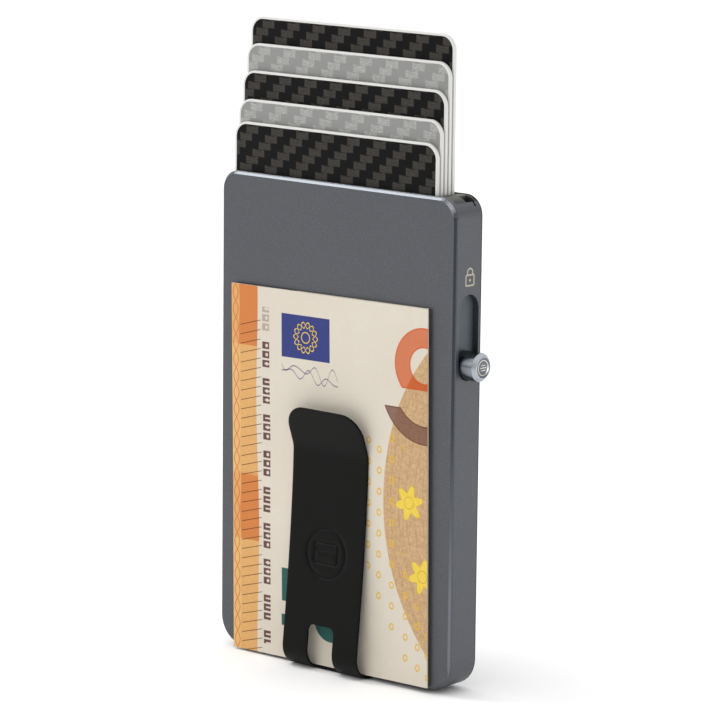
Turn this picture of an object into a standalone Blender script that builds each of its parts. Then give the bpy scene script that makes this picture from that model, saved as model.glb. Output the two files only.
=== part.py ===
"""Slider card wallet with a money clip.

A flat aluminium case holds five payment-size cards. A knob on its right side runs in a slot: pulled
down it turns a stepped lever under the cards, which fans them out of the mouth, and pushed up to the
padlock mark it locks them in. A spring-steel clip hooked under the case pinches a folded banknote.

The model is at rest with the knob down and the cards fanned out. X runs across the case, Y from the
front (clip side) to the back and Z up. The origin is on the standing plane, centred on the case.
"""

import math

import bmesh
import bpy
from mathutils import Matrix, Vector

MM = 0.001

# Case
CASE_WIDTH = 62.5 * MM
CASE_DEPTH = 8.7 * MM
CASE_HEIGHT = 100.0 * MM
CLIP_SHEET = 0.5 * MM
FIT_GAP = 0.05 * MM
CASE_BOTTOM = CLIP_SHEET + FIT_GAP
CASE_TOP = CASE_BOTTOM + CASE_HEIGHT
CASE_FRONT = -CASE_DEPTH / 2
CASE_BACK = CASE_DEPTH / 2
CASE_RIGHT = CASE_WIDTH / 2
TOP_RADIUS = 4.0 * MM
BOTTOM_RADIUS = 6.0 * MM
EDGE_CHAMFER = 0.6 * MM
SIDE_WALL = 1.9 * MM
SLOT_WALL = 1.2 * MM
FRONT_WALL = 1.2 * MM
FLOOR_WALL = 2.0 * MM
COVER_THICKNESS = 0.75 * MM
SEAM = 0.1 * MM
SHELL_BACK = CASE_BACK - COVER_THICKNESS - SEAM
COVER_FRONT = CASE_BACK - COVER_THICKNESS
POCKET_FRONT = CASE_FRONT + FRONT_WALL
POCKET_RIGHT = CASE_RIGHT - SIDE_WALL
POCKET_FLOOR = CASE_BOTTOM + FLOOR_WALL

# Cards, the standard payment-card size
CARD_WIDTH = 53.98 * MM
CARD_HEIGHT = 85.6 * MM
CARD_THICKNESS = 0.76 * MM
CARD_RADIUS = 3.18 * MM
CARD_CENTRE_X = -2.05 * MM
CARD_PITCH = 1.178 * MM
FIRST_CARD_FRONT = CASE_FRONT + 1.6 * MM
LOCKED_CARD_BOTTOM = CASE_BOTTOM + 14.0 * MM
CARD_LIFTS = (10.5 * MM, 15.05 * MM, 20.8 * MM, 26.3 * MM, 31.7 * MM)

# Slider
SLIDE_TRAVEL = 11.1 * MM
KNOB_RADIUS = 2.9 * MM
KNOB_Z = CASE_BOTTOM + 66.5 * MM
KNOB_SHAFT_END = CASE_RIGHT + 3.2 * MM
KNOB_TIP = CASE_RIGHT + 3.93 * MM
KNOB_FACE_RADIUS = 1.95 * MM
SLOT_CLEARANCE = 0.1 * MM
SLOT_HALF_WIDTH = KNOB_RADIUS + SLOT_CLEARANCE
PLATE_OUTSIDE = CASE_RIGHT - SLOT_WALL - SLOT_CLEARANCE
PLATE_THICKNESS = 0.8 * MM
PLATE_INSIDE = PLATE_OUTSIDE - PLATE_THICKNESS
PLATE_HALF_WIDTH = 3.05 * MM
PLATE_TOP = CASE_BOTTOM + 82.2 * MM
PLATE_BOTTOM = CASE_BOTTOM + 8.3 * MM
STUD_RADIUS = 1.3 * MM
SCREW_HEAD_X = PLATE_INSIDE - 0.9 * MM

# Ejector lever, drawn with its long arm level, then turned about its pivot
PIVOT_X = CASE_RIGHT - 14.1 * MM
PIVOT_Z = CASE_BOTTOM + 9.8 * MM
LEVER_LOCKED_DEG = -8.0
LEVER_SWING_DEG = 60.0
LEVER_REST_DEG = LEVER_LOCKED_DEG + LEVER_SWING_DEG
ARM_LENGTHS = (15.3 * MM, 21.0 * MM, 28.1 * MM, 35.0 * MM, 41.7 * MM)
HUB_RADIUS = 3.3 * MM
BUSH_RADIUS = 2.0 * MM
PIN_RADIUS = 1.2 * MM
DRIVE_PIN_RADIUS = 0.65 * MM
DRIVE_PIN_X = CASE_RIGHT - 4.5 * MM
FORK_MIDDLE_DEG = LEVER_LOCKED_DEG + LEVER_SWING_DEG / 2
FORK_HALF_SLOT = DRIVE_PIN_RADIUS + 0.3 * MM
FORK_REACH = 11.8 * MM
FORK_PRONG = 0.9 * MM
FORK_FRONT = 2.82 * MM
FORK_BACK = 3.36 * MM

# Side rail between the cards and the slider
RAIL_LEFT = CASE_RIGHT - 5.9 * MM
RAIL_RIGHT = CASE_RIGHT - 2.3 * MM
RAIL_BOTTOM = CASE_BOTTOM + 23.0 * MM
RAIL_HEAD_BOTTOM = CASE_BOTTOM + 94.6 * MM
RAIL_HEAD_RIGHT = CASE_RIGHT - SLOT_WALL - 0.1 * MM
RAIL_HEAD_INSET = 0.15 * MM

# Money clip
CLIP_WIDTH = 20.0 * MM
CLIP_FOOT_BACK = 3.25 * MM
BEND_RADIUS = 4.35 * MM
BEND_Y = CASE_FRONT + 0.3 * MM
BEND_Z = BEND_RADIUS
BEND_END_DEG = 174.0
CONTACT_Y = CASE_FRONT - 1.1 * MM
CONTACT_Z = CASE_BOTTOM + 45.0 * MM
BLADE_POWER = 1.5
LIP_DEG = 19.5
LIP_BEND_RADIUS = 2.5 * MM
LIP_TOP = CASE_BOTTOM + 53.9 * MM
LIP_CORNER = 5.0 * MM
WINDOW_HALF = 3.4 * MM
WINDOW_TOP = CASE_BOTTOM + 9.3 * MM
WINDOW_BACK = CASE_FRONT - 0.9 * MM
WINDOW_CORNER = 1.3 * MM
BLADE_GAP = 0.1 * MM

# Folded banknote
NOTE_WIDTH = 52.5 * MM
NOTE_HEIGHT = 77.0 * MM
NOTE_THICKNESS = 0.48 * MM
NOTE_X = -0.63 * MM
NOTE_Z = CASE_BOTTOM + 38.77 * MM
NOTE_BACK = CASE_FRONT - 0.07 * MM
NOTE_TILT_DEG = 0.85

# Screws (cover screws: name, x, z)
COVER_SCREWS = (
    ("cover_screw_lower", -27.3 * MM, CASE_BOTTOM + 4.6 * MM),
    ("cover_screw_upper", 27.2 * MM, CASE_BOTTOM + 90.5 * MM),
)
COVER_SCREW_RADIUS = 0.75 * MM
COVER_SCREW_HEAD = 1.45 * MM
COVER_SCREW_LENGTH = 4.0 * MM
COUNTERSINK_DEPTH = 0.6 * MM
HOLE_CLEARANCE = 0.06 * MM
CLIP_SCREW_X = 6.0 * MM
CLIP_SCREW_LENGTH = 2.2 * MM
CLIP_SCREW_RADIUS = 0.75 * MM
CLIP_SCREW_HEAD = 1.4 * MM
CLIP_HEAD_DEPTH = 0.65 * MM
HEX_RADIUS = 0.6 * MM
HEX_DEPTH = 0.4 * MM

# Detent spring
DETENT_Z = CASE_BOTTOM + 50.0 * MM
DETENT_HALF_LENGTH = 7.0 * MM

CIRCLE_SIDES = 32
CORNER_STEPS = 8


def clear_scene():
    for thing in list(bpy.data.objects):
        bpy.data.objects.remove(thing)


def material(name, colour, roughness, metallic=0.0):
    made = bpy.data.materials.get(name)
    if made is None:
        made = bpy.data.materials.new(name)
        made.use_nodes = True
        shader = made.node_tree.nodes["Principled BSDF"]
        shader.inputs["Base Color"].default_value = (*colour, 1.0)
        shader.inputs["Roughness"].default_value = roughness
        shader.inputs["Metallic"].default_value = metallic
    return made


def grey_aluminium():
    return material("grey_aluminium", (0.12, 0.125, 0.135), 0.45, 1.0)


def polished_aluminium():
    return material("knob_aluminium", (0.32, 0.34, 0.38), 0.3, 1.0)


def steel():
    return material("steel", (0.45, 0.45, 0.46), 0.35, 1.0)


def black_steel():
    return material("black_steel", (0.015, 0.015, 0.014), 0.5)


def liner_plastic():
    return material("liner_plastic", (0.09, 0.09, 0.075), 0.6)


def brass():
    return material("brass", (0.6, 0.45, 0.2), 0.35, 1.0)


def felt():
    return material("felt", (0.03, 0.03, 0.03), 0.95)


def card_material(index):
    if index % 2:
        return material("card_grey", (0.35, 0.35, 0.35), 0.5)
    return material("card_black", (0.02, 0.02, 0.02), 0.4)


def paper():
    return material("note_paper", (0.75, 0.7, 0.6), 0.85)


def add_object(name, mesh_data, surface=None):
    made = bpy.data.objects.new(name, mesh_data)
    bpy.context.scene.collection.objects.link(made)
    if surface:
        made.data.materials.append(surface)
    return made


def finish_mesh(shape, name):
    bmesh.ops.recalc_face_normals(shape, faces=shape.faces)
    mesh_data = bpy.data.meshes.new(name)
    shape.to_mesh(mesh_data)
    shape.free()
    return mesh_data


def loft(name, rings, surface=None):
    """A closed solid through rings of equal point count, capped at both ends."""
    shape = bmesh.new()
    rows = [[shape.verts.new(point) for point in ring] for ring in rings]
    count = len(rows[0])
    for low, high in zip(rows, rows[1:]):
        for i in range(count):
            j = (i + 1) % count
            shape.faces.new((low[i], low[j], high[j], high[i]))
    shape.faces.new(rows[0])
    shape.faces.new(rows[-1])
    return add_object(name, finish_mesh(shape, name), surface)


def prism_along_y(name, outline, front, back, surface=None):
    """outline is a list of (x, z) points."""
    rings = [[(x, y, z) for x, z in outline] for y in (front, back)]
    return loft(name, rings, surface)


def prism_along_x(name, outline, left, right, surface=None):
    """outline is a list of (y, z) points."""
    rings = [[(x, y, z) for y, z in outline] for x in (left, right)]
    return loft(name, rings, surface)


def box(name, low, high, surface=None):
    outline = [(low[0], low[2]), (high[0], low[2]), (high[0], high[2]), (low[0], high[2])]
    return prism_along_y(name, outline, low[1], high[1], surface)


def turned(name, axis, centre, profile, surface=None):
    """A solid turned about an axis. profile is (distance along the axis, radius) pairs, end to end."""
    rings = []
    for along, radius in profile:
        ring = []
        for i in range(CIRCLE_SIDES):
            turn = 2 * math.pi * i / CIRCLE_SIDES
            across, up = radius * math.cos(turn), radius * math.sin(turn)
            offset = {"X": (along, across, up), "Y": (across, along, up), "Z": (across, up, along)}[axis]
            ring.append(Vector(centre) + Vector(offset))
        rings.append(ring)
    return loft(name, rings, surface)


def tube_along_y(name, centre, outer, inner, front, back, surface):
    made = turned(name, "Y", centre, ((front, outer), (back, outer)), surface)
    margin = 1.0 * MM
    hole = turned(name + "_bore", "Y", centre, ((front - margin, inner), (back + margin, inner)))
    return cut(made, hole)


def cut(body, *cutters):
    for cutter in cutters:
        cutter.hide_render = True
        cutter.display_type = "WIRE"
        modifier = body.modifiers.new("cut_" + cutter.name, "BOOLEAN")
        modifier.operation = "DIFFERENCE"
        modifier.object = cutter
        modifier.solver = "EXACT"
    return body


def combine(body, part):
    part.hide_render = True
    part.display_type = "WIRE"
    modifier = body.modifiers.new("join_" + part.name, "BOOLEAN")
    modifier.operation = "UNION"
    modifier.object = part
    modifier.solver = "EXACT"
    return body


def arc(centre_x, centre_z, radius, start_deg, end_deg, steps=CORNER_STEPS):
    points = []
    for i in range(steps + 1):
        turn = math.radians(start_deg + (end_deg - start_deg) * i / steps)
        points.append((centre_x + radius * math.cos(turn), centre_z + radius * math.sin(turn)))
    return points


def rounded_outline(left, right, bottom, top, bottom_radius, top_radius):
    """Counter-clockwise (x, z) points of a rectangle with round corners."""
    outline = arc(right - bottom_radius, bottom + bottom_radius, bottom_radius, -90, 0)
    outline += arc(right - top_radius, top - top_radius, top_radius, 0, 90)
    outline += arc(left + top_radius, top - top_radius, top_radius, 90, 180)
    outline += arc(left + bottom_radius, bottom + bottom_radius, bottom_radius, 180, 270)
    return outline


def case_outline(inset=0.0):
    return rounded_outline(
        -CASE_RIGHT + inset,
        CASE_RIGHT - inset,
        CASE_BOTTOM + inset,
        CASE_TOP - inset,
        BOTTOM_RADIUS - inset,
        TOP_RADIUS - inset,
    )


def at_depth(outline, y):
    return [(x, y, z) for x, z in outline]


def smooth_round(*objects):
    for thing in objects:
        thing.data.shade_smooth()
        thing.data.set_sharp_from_angle(angle=math.radians(35))


def screw(name, axis, centre, head_end, direction, head_radius, head_depth, radius, length, surface):
    """A countersunk screw with a hexagon socket. direction is the sign of the axis from head to tip."""
    profile = [
        (head_end, head_radius),
        (head_end + direction * head_depth, radius),
        (head_end + direction * length, radius),
    ]
    made = turned(name, axis, centre, profile, surface)
    smooth_round(made)
    socket = []
    for along in (head_end - direction * HEX_DEPTH, head_end + direction * HEX_DEPTH):
        ring = []
        for i in range(6):
            turn = math.radians(60 * i)
            across, up = HEX_RADIUS * math.cos(turn), HEX_RADIUS * math.sin(turn)
            offset = (across, along, up) if axis == "Y" else (across, up, along)
            ring.append(Vector(centre) + Vector(offset))
        socket.append(ring)
    return cut(made, loft(name + "_socket", socket))


def countersink(name, axis, centre, head_end, direction, head_radius, head_depth, radius, length):
    """The cutter that leaves a clear seat for a countersunk screw."""
    slope = (head_radius - radius) / head_depth
    outside = head_end - direction * 1.0 * MM
    wide = head_radius + HOLE_CLEARANCE + 1.0 * MM * slope
    narrow = radius + HOLE_CLEARANCE
    profile = [
        (outside, wide),
        (head_end + direction * head_depth, narrow),
        (head_end + direction * length, narrow),
    ]
    return turned(name, axis, centre, profile)


def build_shell():
    """Front face and side walls in one piece, open at the back and at the mouth."""
    rings = [
        at_depth(case_outline(EDGE_CHAMFER), CASE_FRONT),
        at_depth(case_outline(), CASE_FRONT + EDGE_CHAMFER),
        at_depth(case_outline(), SHELL_BACK),
    ]
    shell = loft("front_shell", rings, grey_aluminium())
    beyond = 5.0 * MM
    pocket_corner = 2.5 * MM
    pocket_outline = rounded_outline(
        -POCKET_RIGHT, POCKET_RIGHT, POCKET_FLOOR, CASE_TOP + 10.0 * MM, pocket_corner, pocket_corner
    )
    pocket = prism_along_y("pocket_cutter", pocket_outline, POCKET_FRONT, SHELL_BACK + beyond)
    groove_low = (POCKET_RIGHT - 1.0 * MM, POCKET_FRONT, CASE_BOTTOM + 8.0 * MM)
    groove_high = (CASE_RIGHT - SLOT_WALL, SHELL_BACK + beyond, CASE_TOP + beyond)
    groove = box("slider_groove_cutter", groove_low, groove_high)
    slot_outline = arc(0.0, KNOB_Z - SLOT_CLEARANCE, SLOT_HALF_WIDTH, 180, 360, 2 * CORNER_STEPS)
    slot_top = KNOB_Z + SLIDE_TRAVEL + SLOT_CLEARANCE
    slot_outline += arc(0.0, slot_top, SLOT_HALF_WIDTH, 0, 180, 2 * CORNER_STEPS)
    slot = prism_along_x("knob_slot_cutter", slot_outline, POCKET_RIGHT, CASE_RIGHT + beyond)
    seat_depth = 0.6 * MM
    pivot_seat = turned(
        "pivot_seat_cutter",
        "Y",
        (PIVOT_X, 0, PIVOT_Z),
        ((POCKET_FRONT - seat_depth, PIN_RADIUS + FIT_GAP), (POCKET_FRONT + beyond, PIN_RADIUS + FIT_GAP)),
    )
    latch_low = (POCKET_RIGHT - 1.0 * MM, 1.95 * MM, CASE_TOP - 2.9 * MM)
    latch_high = (CASE_RIGHT - 0.55 * MM, 2.4 * MM, CASE_TOP + 1.0 * MM)
    latch_slot = box("latch_slot_cutter", latch_low, latch_high)
    clip_seats = [
        countersink(
            f"clip_screw_seat_cutter_{i}",
            "Z",
            (x, 0, 0),
            0.0,
            1,
            CLIP_SCREW_HEAD,
            CLIP_HEAD_DEPTH,
            CLIP_SCREW_RADIUS,
            POCKET_FLOOR + 1.0 * MM,
        )
        for i, x in enumerate((-CLIP_SCREW_X, CLIP_SCREW_X))
    ]
    return cut(shell, pocket, groove, slot, pivot_seat, latch_slot, *clip_seats)


def build_cover():
    """Back plate, seated on the shell's rear edge and held by the cover screws and the pivot screw."""
    rings = [
        at_depth(case_outline(), COVER_FRONT),
        at_depth(case_outline(), CASE_BACK - EDGE_CHAMFER),
        at_depth(case_outline(EDGE_CHAMFER), CASE_BACK),
    ]
    cover = loft("back_cover", rings, grey_aluminium())
    seats = [
        countersink(
            name + "_seat_cutter",
            "Y",
            (x, 0, z),
            CASE_BACK,
            -1,
            COVER_SCREW_HEAD,
            COUNTERSINK_DEPTH,
            COVER_SCREW_RADIUS,
            COVER_SCREW_LENGTH,
        )
        for name, x, z in COVER_SCREWS
    ]
    seats.append(
        countersink(
            "pivot_screw_seat_cutter",
            "Y",
            (PIVOT_X, 0, PIVOT_Z),
            CASE_BACK,
            -1,
            PIN_RADIUS + COUNTERSINK_DEPTH,
            COUNTERSINK_DEPTH,
            PIN_RADIUS,
            COVER_SCREW_LENGTH,
        )
    )
    return cut(cover, *seats)


def build_cover_screws():
    for name, x, z in COVER_SCREWS:
        screw(
            name,
            "Y",
            (x, 0, z),
            CASE_BACK - 0.05 * MM,
            -1,
            COVER_SCREW_HEAD,
            COUNTERSINK_DEPTH,
            COVER_SCREW_RADIUS,
            COVER_SCREW_LENGTH,
            steel(),
        )


def build_pivot():
    """Shoulder screw, bush and two washers that carry the lever."""
    pin_end = POCKET_FRONT - 0.5 * MM
    head = CASE_BACK - 0.05 * MM
    screw(
        "pivot_screw",
        "Y",
        (PIVOT_X, 0, PIVOT_Z),
        head,
        -1,
        PIN_RADIUS + COUNTERSINK_DEPTH,
        COUNTERSINK_DEPTH,
        PIN_RADIUS,
        head - pin_end,
        steel(),
    )
    centre = (PIVOT_X, 0, PIVOT_Z)
    washer = 0.12 * MM
    washer_radius = 2.9 * MM
    bore = PIN_RADIUS + FIT_GAP
    front = POCKET_FRONT + 0.03 * MM
    tube_along_y("lever_washer_front", centre, washer_radius, bore, front, front + washer, steel())
    back = FORK_BACK + 0.03 * MM
    tube_along_y("lever_washer_rear", centre, washer_radius, bore, back, back + washer, steel())


def lever_layer_edge(index):
    """Y of the front of the lever's layer under card index + 1; index 5 gives the lever's back."""
    return FIRST_CARD_FRONT - 0.2 * MM + CARD_PITCH * index


def turn_point(x, z, degrees):
    """The point turned about Y so that the -X side rises."""
    turn = math.radians(degrees)
    return (x * math.cos(turn) + z * math.sin(turn), -x * math.sin(turn) + z * math.cos(turn))


def arm_outline():
    """(x, z) of the rear, longest layer about the pivot, drawn with the arm level."""
    tip_x = -ARM_LENGTHS[-1]
    tip_radius = 0.8 * MM
    outline = arc(0.0, 0.0, HUB_RADIUS, -120, 90, 12)
    outline += arc(tip_x + tip_radius, HUB_RADIUS - tip_radius, tip_radius, 90, 180, 4)
    return outline + [(tip_x, 0.9 * MM), (tip_x + 4.0 * MM, 0.4 * MM), (-9.0 * MM, -2.0 * MM)]


def fork_outline():
    """(x, z) of the fork arm behind the cards. It is level halfway through the swing."""
    half = FORK_HALF_SLOT + FORK_PRONG
    bevel = 0.6 * MM
    slot_end = 8.2 * MM
    outline = arc(0.0, 0.0, HUB_RADIUS, 35, 325, 14) + [
        (FORK_REACH - bevel, -half),
        (FORK_REACH, -half + bevel),
        (FORK_REACH, -FORK_HALF_SLOT),
        (slot_end, -FORK_HALF_SLOT),
        (slot_end, FORK_HALF_SLOT),
        (FORK_REACH, FORK_HALF_SLOT),
        (FORK_REACH, half - bevel),
        (FORK_REACH - bevel, half),
    ]
    return [turn_point(x, z, -FORK_MIDDLE_DEG) for x, z in outline]


def build_lever():
    """Bell crank with one step under each card: the further back the card, the longer the step."""
    front = lever_layer_edge(0)
    back = lever_layer_edge(len(ARM_LENGTHS))
    lever = prism_along_y("ejector_lever", arm_outline(), front, back, liner_plastic())
    fork = prism_along_y("lever_fork_form", fork_outline(), FORK_FRONT, FORK_BACK)
    combine(lever, fork)
    cutters = []
    for i, length in enumerate(ARM_LENGTHS[:-1]):
        low = (-60.0 * MM, front - 2.0 * MM, -20.0 * MM)
        high = (-length, lever_layer_edge(i + 1), 20.0 * MM)
        cutters.append(box(f"lever_step_cutter_{i + 1}", low, high))
    bore = BUSH_RADIUS + FIT_GAP
    cutters.append(turned("lever_bore_cutter", "Y", (0, 0, 0), ((-0.01, bore), (0.01, bore))))
    cut(lever, *cutters)
    pivot = bpy.data.objects.new("lever_pivot", None)
    bpy.context.scene.collection.objects.link(pivot)
    pivot.location = (PIVOT_X, 0, PIVOT_Z)
    pivot.rotation_euler = (0, math.radians(LEVER_REST_DEG), 0)
    inner = PIN_RADIUS + FIT_GAP
    bush = tube_along_y("lever_bush", (0, 0, 0), BUSH_RADIUS, inner, front, FORK_BACK, brass())
    for thing in (lever, fork, bush, *cutters, bpy.data.objects["lever_bush_bore"]):
        thing.parent = pivot


def build_slider():
    """Strip behind the slot, with the knob's stud through it and the drive pin on its foot."""
    pin_z = PIVOT_Z - SLIDE_TRAVEL / 2
    strip = [
        (PLATE_INSIDE, PLATE_BOTTOM),
        (PLATE_OUTSIDE, PLATE_BOTTOM),
        (PLATE_OUTSIDE, PLATE_TOP),
        (PLATE_INSIDE, PLATE_TOP),
    ]
    plate = prism_along_y("slider_plate", strip, -PLATE_HALF_WIDTH, PLATE_HALF_WIDTH, steel())
    stud_hole = turned(
        "stud_hole_cutter",
        "X",
        (0, 0, KNOB_Z),
        (
            (PLATE_INSIDE - 1.0 * MM, STUD_RADIUS + FIT_GAP),
            (PLATE_OUTSIDE + 1.0 * MM, STUD_RADIUS + FIT_GAP),
        ),
    )
    detents = [
        turned(
            f"detent_hole_cutter_{i}",
            "X",
            (0, 0, DETENT_Z - SLIDE_TRAVEL * i),
            ((PLATE_INSIDE - 1.0 * MM, 0.9 * MM), (PLATE_OUTSIDE + 1.0 * MM, 0.9 * MM)),
        )
        for i in range(2)
    ]
    cut(plate, stud_hole, *detents)
    knob = turned(
        "slide_knob",
        "X",
        (0, 0, KNOB_Z),
        (
            (PLATE_INSIDE + FIT_GAP, STUD_RADIUS),
            (PLATE_OUTSIDE + FIT_GAP, STUD_RADIUS),
            (PLATE_OUTSIDE + FIT_GAP, KNOB_RADIUS),
            (KNOB_SHAFT_END, KNOB_RADIUS),
            (KNOB_TIP, KNOB_FACE_RADIUS),
        ),
        polished_aluminium(),
    )
    smooth_round(knob)
    thread = 0.6 * MM
    cut(
        knob,
        turned(
            "knob_thread_cutter",
            "X",
            (0, 0, KNOB_Z),
            ((PLATE_INSIDE - 1.0 * MM, thread + FIT_GAP), (PLATE_OUTSIDE + 1.4 * MM, thread + FIT_GAP)),
        ),
    )
    turned(
        "knob_screw",
        "X",
        (0, 0, KNOB_Z),
        (
            (SCREW_HEAD_X, 1.5 * MM),
            (PLATE_INSIDE - FIT_GAP, 1.9 * MM),
            (PLATE_INSIDE - FIT_GAP, thread),
            (PLATE_OUTSIDE + 1.2 * MM, thread),
        ),
        steel(),
    )
    foot = pin_z - 0.9 * MM
    bracket_right = PLATE_INSIDE - FIT_GAP
    outline = [
        (DRIVE_PIN_X - 1.3 * MM, foot),
        (DRIVE_PIN_X + 0.6 * MM, foot),
        (bracket_right, foot + 1.9 * MM),
        (bracket_right, pin_z + 7.5 * MM),
        (bracket_right - 1.2 * MM, pin_z + 7.5 * MM),
        (bracket_right - 1.2 * MM, pin_z + 3.2 * MM),
        (DRIVE_PIN_X - 1.3 * MM, pin_z + 1.3 * MM),
    ]
    front, back = -2.0 * MM, FORK_FRONT - 0.12 * MM
    bracket = prism_along_y("drive_bracket", outline, front, back, steel())
    stem = 0.5 * MM
    pin_hole = turned(
        "drive_pin_hole_cutter",
        "Y",
        (DRIVE_PIN_X, 0, pin_z),
        ((front - 1.0 * MM, stem + FIT_GAP), (back + 1.0 * MM, stem + FIT_GAP)),
    )
    cut(bracket, pin_hole)
    turned(
        "drive_pin",
        "Y",
        (DRIVE_PIN_X, 0, pin_z),
        (
            (front + 0.1 * MM, stem),
            (back + 0.03 * MM, stem),
            (back + 0.03 * MM, DRIVE_PIN_RADIUS),
            (FORK_BACK + 0.05 * MM, DRIVE_PIN_RADIUS),
        ),
        steel(),
    )


def build_detent():
    """Leaf spring in the rail whose bump clicks into the slider's holes at both ends of its travel."""
    leaf = 0.2 * MM
    face = PLATE_INSIDE - 0.12 * MM
    waist = 0.75 * MM
    line = []
    steps = 16
    for i in range(steps + 1):
        along = -DETENT_HALF_LENGTH + 2 * DETENT_HALF_LENGTH * i / steps
        bump = math.exp(-((along / (1.6 * MM)) ** 2))
        line.append((face - leaf - waist * (1 - bump), DETENT_Z + along))
    outline = line + [(x + leaf, z) for x, z in reversed(line)]
    prism_along_y("detent_spring", outline, -1.5 * MM, 1.5 * MM, steel())


def rail_outline():
    """Straight rail with a wider head that follows the case's corner in the mouth."""
    centre_x = CASE_RIGHT - TOP_RADIUS
    centre_z = CASE_TOP - TOP_RADIUS
    radius = TOP_RADIUS - RAIL_HEAD_INSET
    start = math.degrees(math.acos((RAIL_HEAD_RIGHT - centre_x) / radius))
    outline = [
        (RAIL_LEFT, RAIL_BOTTOM),
        (RAIL_RIGHT, RAIL_BOTTOM),
        (RAIL_RIGHT, RAIL_HEAD_BOTTOM),
        (RAIL_HEAD_RIGHT, RAIL_HEAD_BOTTOM),
    ]
    outline += arc(centre_x, centre_z, radius, start, 90)
    return outline + [(RAIL_LEFT, centre_z + radius)]


def build_rail():
    """Plastic rail that guides the cards' right edges and closes the slider channel from above."""
    rail = prism_along_y(
        "side_rail", rail_outline(), POCKET_FRONT + 0.1 * MM, SHELL_BACK - 0.05 * MM, liner_plastic()
    )
    open_side = RAIL_RIGHT + 1.0 * MM
    screw_track = box(
        "screw_track_cutter",
        (SCREW_HEAD_X - 0.2 * MM, -2.2 * MM, KNOB_Z - 3.0 * MM),
        (open_side, 2.2 * MM, KNOB_Z + SLIDE_TRAVEL + 3.0 * MM),
    )
    spring_room = box(
        "detent_room_cutter",
        (PLATE_INSIDE - 1.4 * MM, -1.7 * MM, DETENT_Z - DETENT_HALF_LENGTH - 0.3 * MM),
        (open_side, 1.7 * MM, DETENT_Z + DETENT_HALF_LENGTH + 0.3 * MM),
    )
    plate_room = box(
        "plate_room_cutter",
        (PLATE_INSIDE - 0.1 * MM, -5.0 * MM, RAIL_BOTTOM - 1.0 * MM),
        (open_side, 5.0 * MM, PLATE_TOP + SLIDE_TRAVEL + 0.8 * MM),
    )
    latch_notch = box(
        "latch_notch_cutter",
        (RAIL_RIGHT - 1.2 * MM, 0.3 * MM, CASE_TOP - 4.0 * MM),
        (CASE_RIGHT, 1.2 * MM, CASE_TOP + 1.0 * MM),
    )
    latch_shelf = box(
        "latch_shelf_cutter",
        (RAIL_RIGHT - 1.2 * MM, 1.1 * MM, CASE_TOP - 1.5 * MM),
        (CASE_RIGHT, 2.9 * MM, CASE_TOP + 1.0 * MM),
    )
    name, screw_x, screw_z = COVER_SCREWS[1]
    thread = turned(
        name + "_thread_cutter",
        "Y",
        (screw_x, 0, screw_z),
        ((-1.0 * MM, COVER_SCREW_RADIUS + FIT_GAP), (5.0 * MM, COVER_SCREW_RADIUS + FIT_GAP)),
    )
    return cut(rail, screw_track, spring_room, plate_room, latch_notch, latch_shelf, thread)


def build_ledge():
    """Corner block that the locked cards stand on, tapped for the lower cover screw."""
    left = -POCKET_RIGHT + 0.1 * MM
    right = left + 4.05 * MM
    bottom = POCKET_FLOOR + FIT_GAP
    top = LOCKED_CARD_BOTTOM - 0.1 * MM
    corner = 2.5 * MM
    outline = arc(left + corner, bottom + corner, corner, 180, 270)
    outline = [point for point in outline if point[0] < right]
    outline += [(right, bottom + 0.2 * MM), (right, top), (left, top)]
    ledge = prism_along_y(
        "card_ledge", outline, POCKET_FRONT + 0.1 * MM, SHELL_BACK - 0.05 * MM, liner_plastic()
    )
    name, screw_x, screw_z = COVER_SCREWS[0]
    thread = turned(
        name + "_thread_cutter",
        "Y",
        (screw_x, 0, screw_z),
        ((-1.0 * MM, COVER_SCREW_RADIUS + FIT_GAP), (5.0 * MM, COVER_SCREW_RADIUS + FIT_GAP)),
    )
    return cut(ledge, thread)


def build_pads():
    """Felt strips that grip the card stack near the mouth."""
    half = 20.0 * MM
    low_z, high_z = CASE_TOP - 12.0 * MM, CASE_TOP - 5.0 * MM
    stack_back = FIRST_CARD_FRONT + 4 * CARD_PITCH + CARD_THICKNESS
    spans = {
        "friction_pad_front": (POCKET_FRONT + 0.03 * MM, FIRST_CARD_FRONT - 0.1 * MM),
        "friction_pad_rear": (stack_back + 0.1 * MM, COVER_FRONT - 0.05 * MM),
    }
    for name, (front, back) in spans.items():
        low = (CARD_CENTRE_X - half, front, low_z)
        high = (CARD_CENTRE_X + half, back, high_z)
        box(name, low, high, felt())


def build_cards():
    for i, lift in enumerate(CARD_LIFTS):
        bottom = LOCKED_CARD_BOTTOM + lift
        outline = rounded_outline(
            CARD_CENTRE_X - CARD_WIDTH / 2,
            CARD_CENTRE_X + CARD_WIDTH / 2,
            bottom,
            bottom + CARD_HEIGHT,
            CARD_RADIUS,
            CARD_RADIUS,
        )
        front = FIRST_CARD_FRONT + CARD_PITCH * i
        prism_along_y(f"card_{i + 1}", outline, front, front + CARD_THICKNESS, card_material(i))


def blade_line():
    """(y, z) of the blade's outer face, from the bend up to the lip's edge."""
    end = math.radians(BEND_END_DEG)
    start_y = BEND_Y + BEND_RADIUS * math.cos(end)
    start_z = BEND_Z + BEND_RADIUS * math.sin(end)
    line = []
    steps = 20
    for i in range(steps + 1):
        z = start_z + (CONTACT_Z - start_z) * i / steps
        share = (CONTACT_Z - z) / (CONTACT_Z - start_z)
        line.append((CONTACT_Y + (start_y - CONTACT_Y) * share**BLADE_POWER, z))
    for i in range(1, 5):
        turn = math.radians(LIP_DEG * i / 4)
        y = CONTACT_Y - LIP_BEND_RADIUS * (1 - math.cos(turn))
        line.append((y, CONTACT_Z + LIP_BEND_RADIUS * math.sin(turn)))
    y, z = line[-1]
    slope = math.tan(math.radians(LIP_DEG))
    line.append((y - (LIP_TOP - z) * slope, LIP_TOP))
    return line


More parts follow.
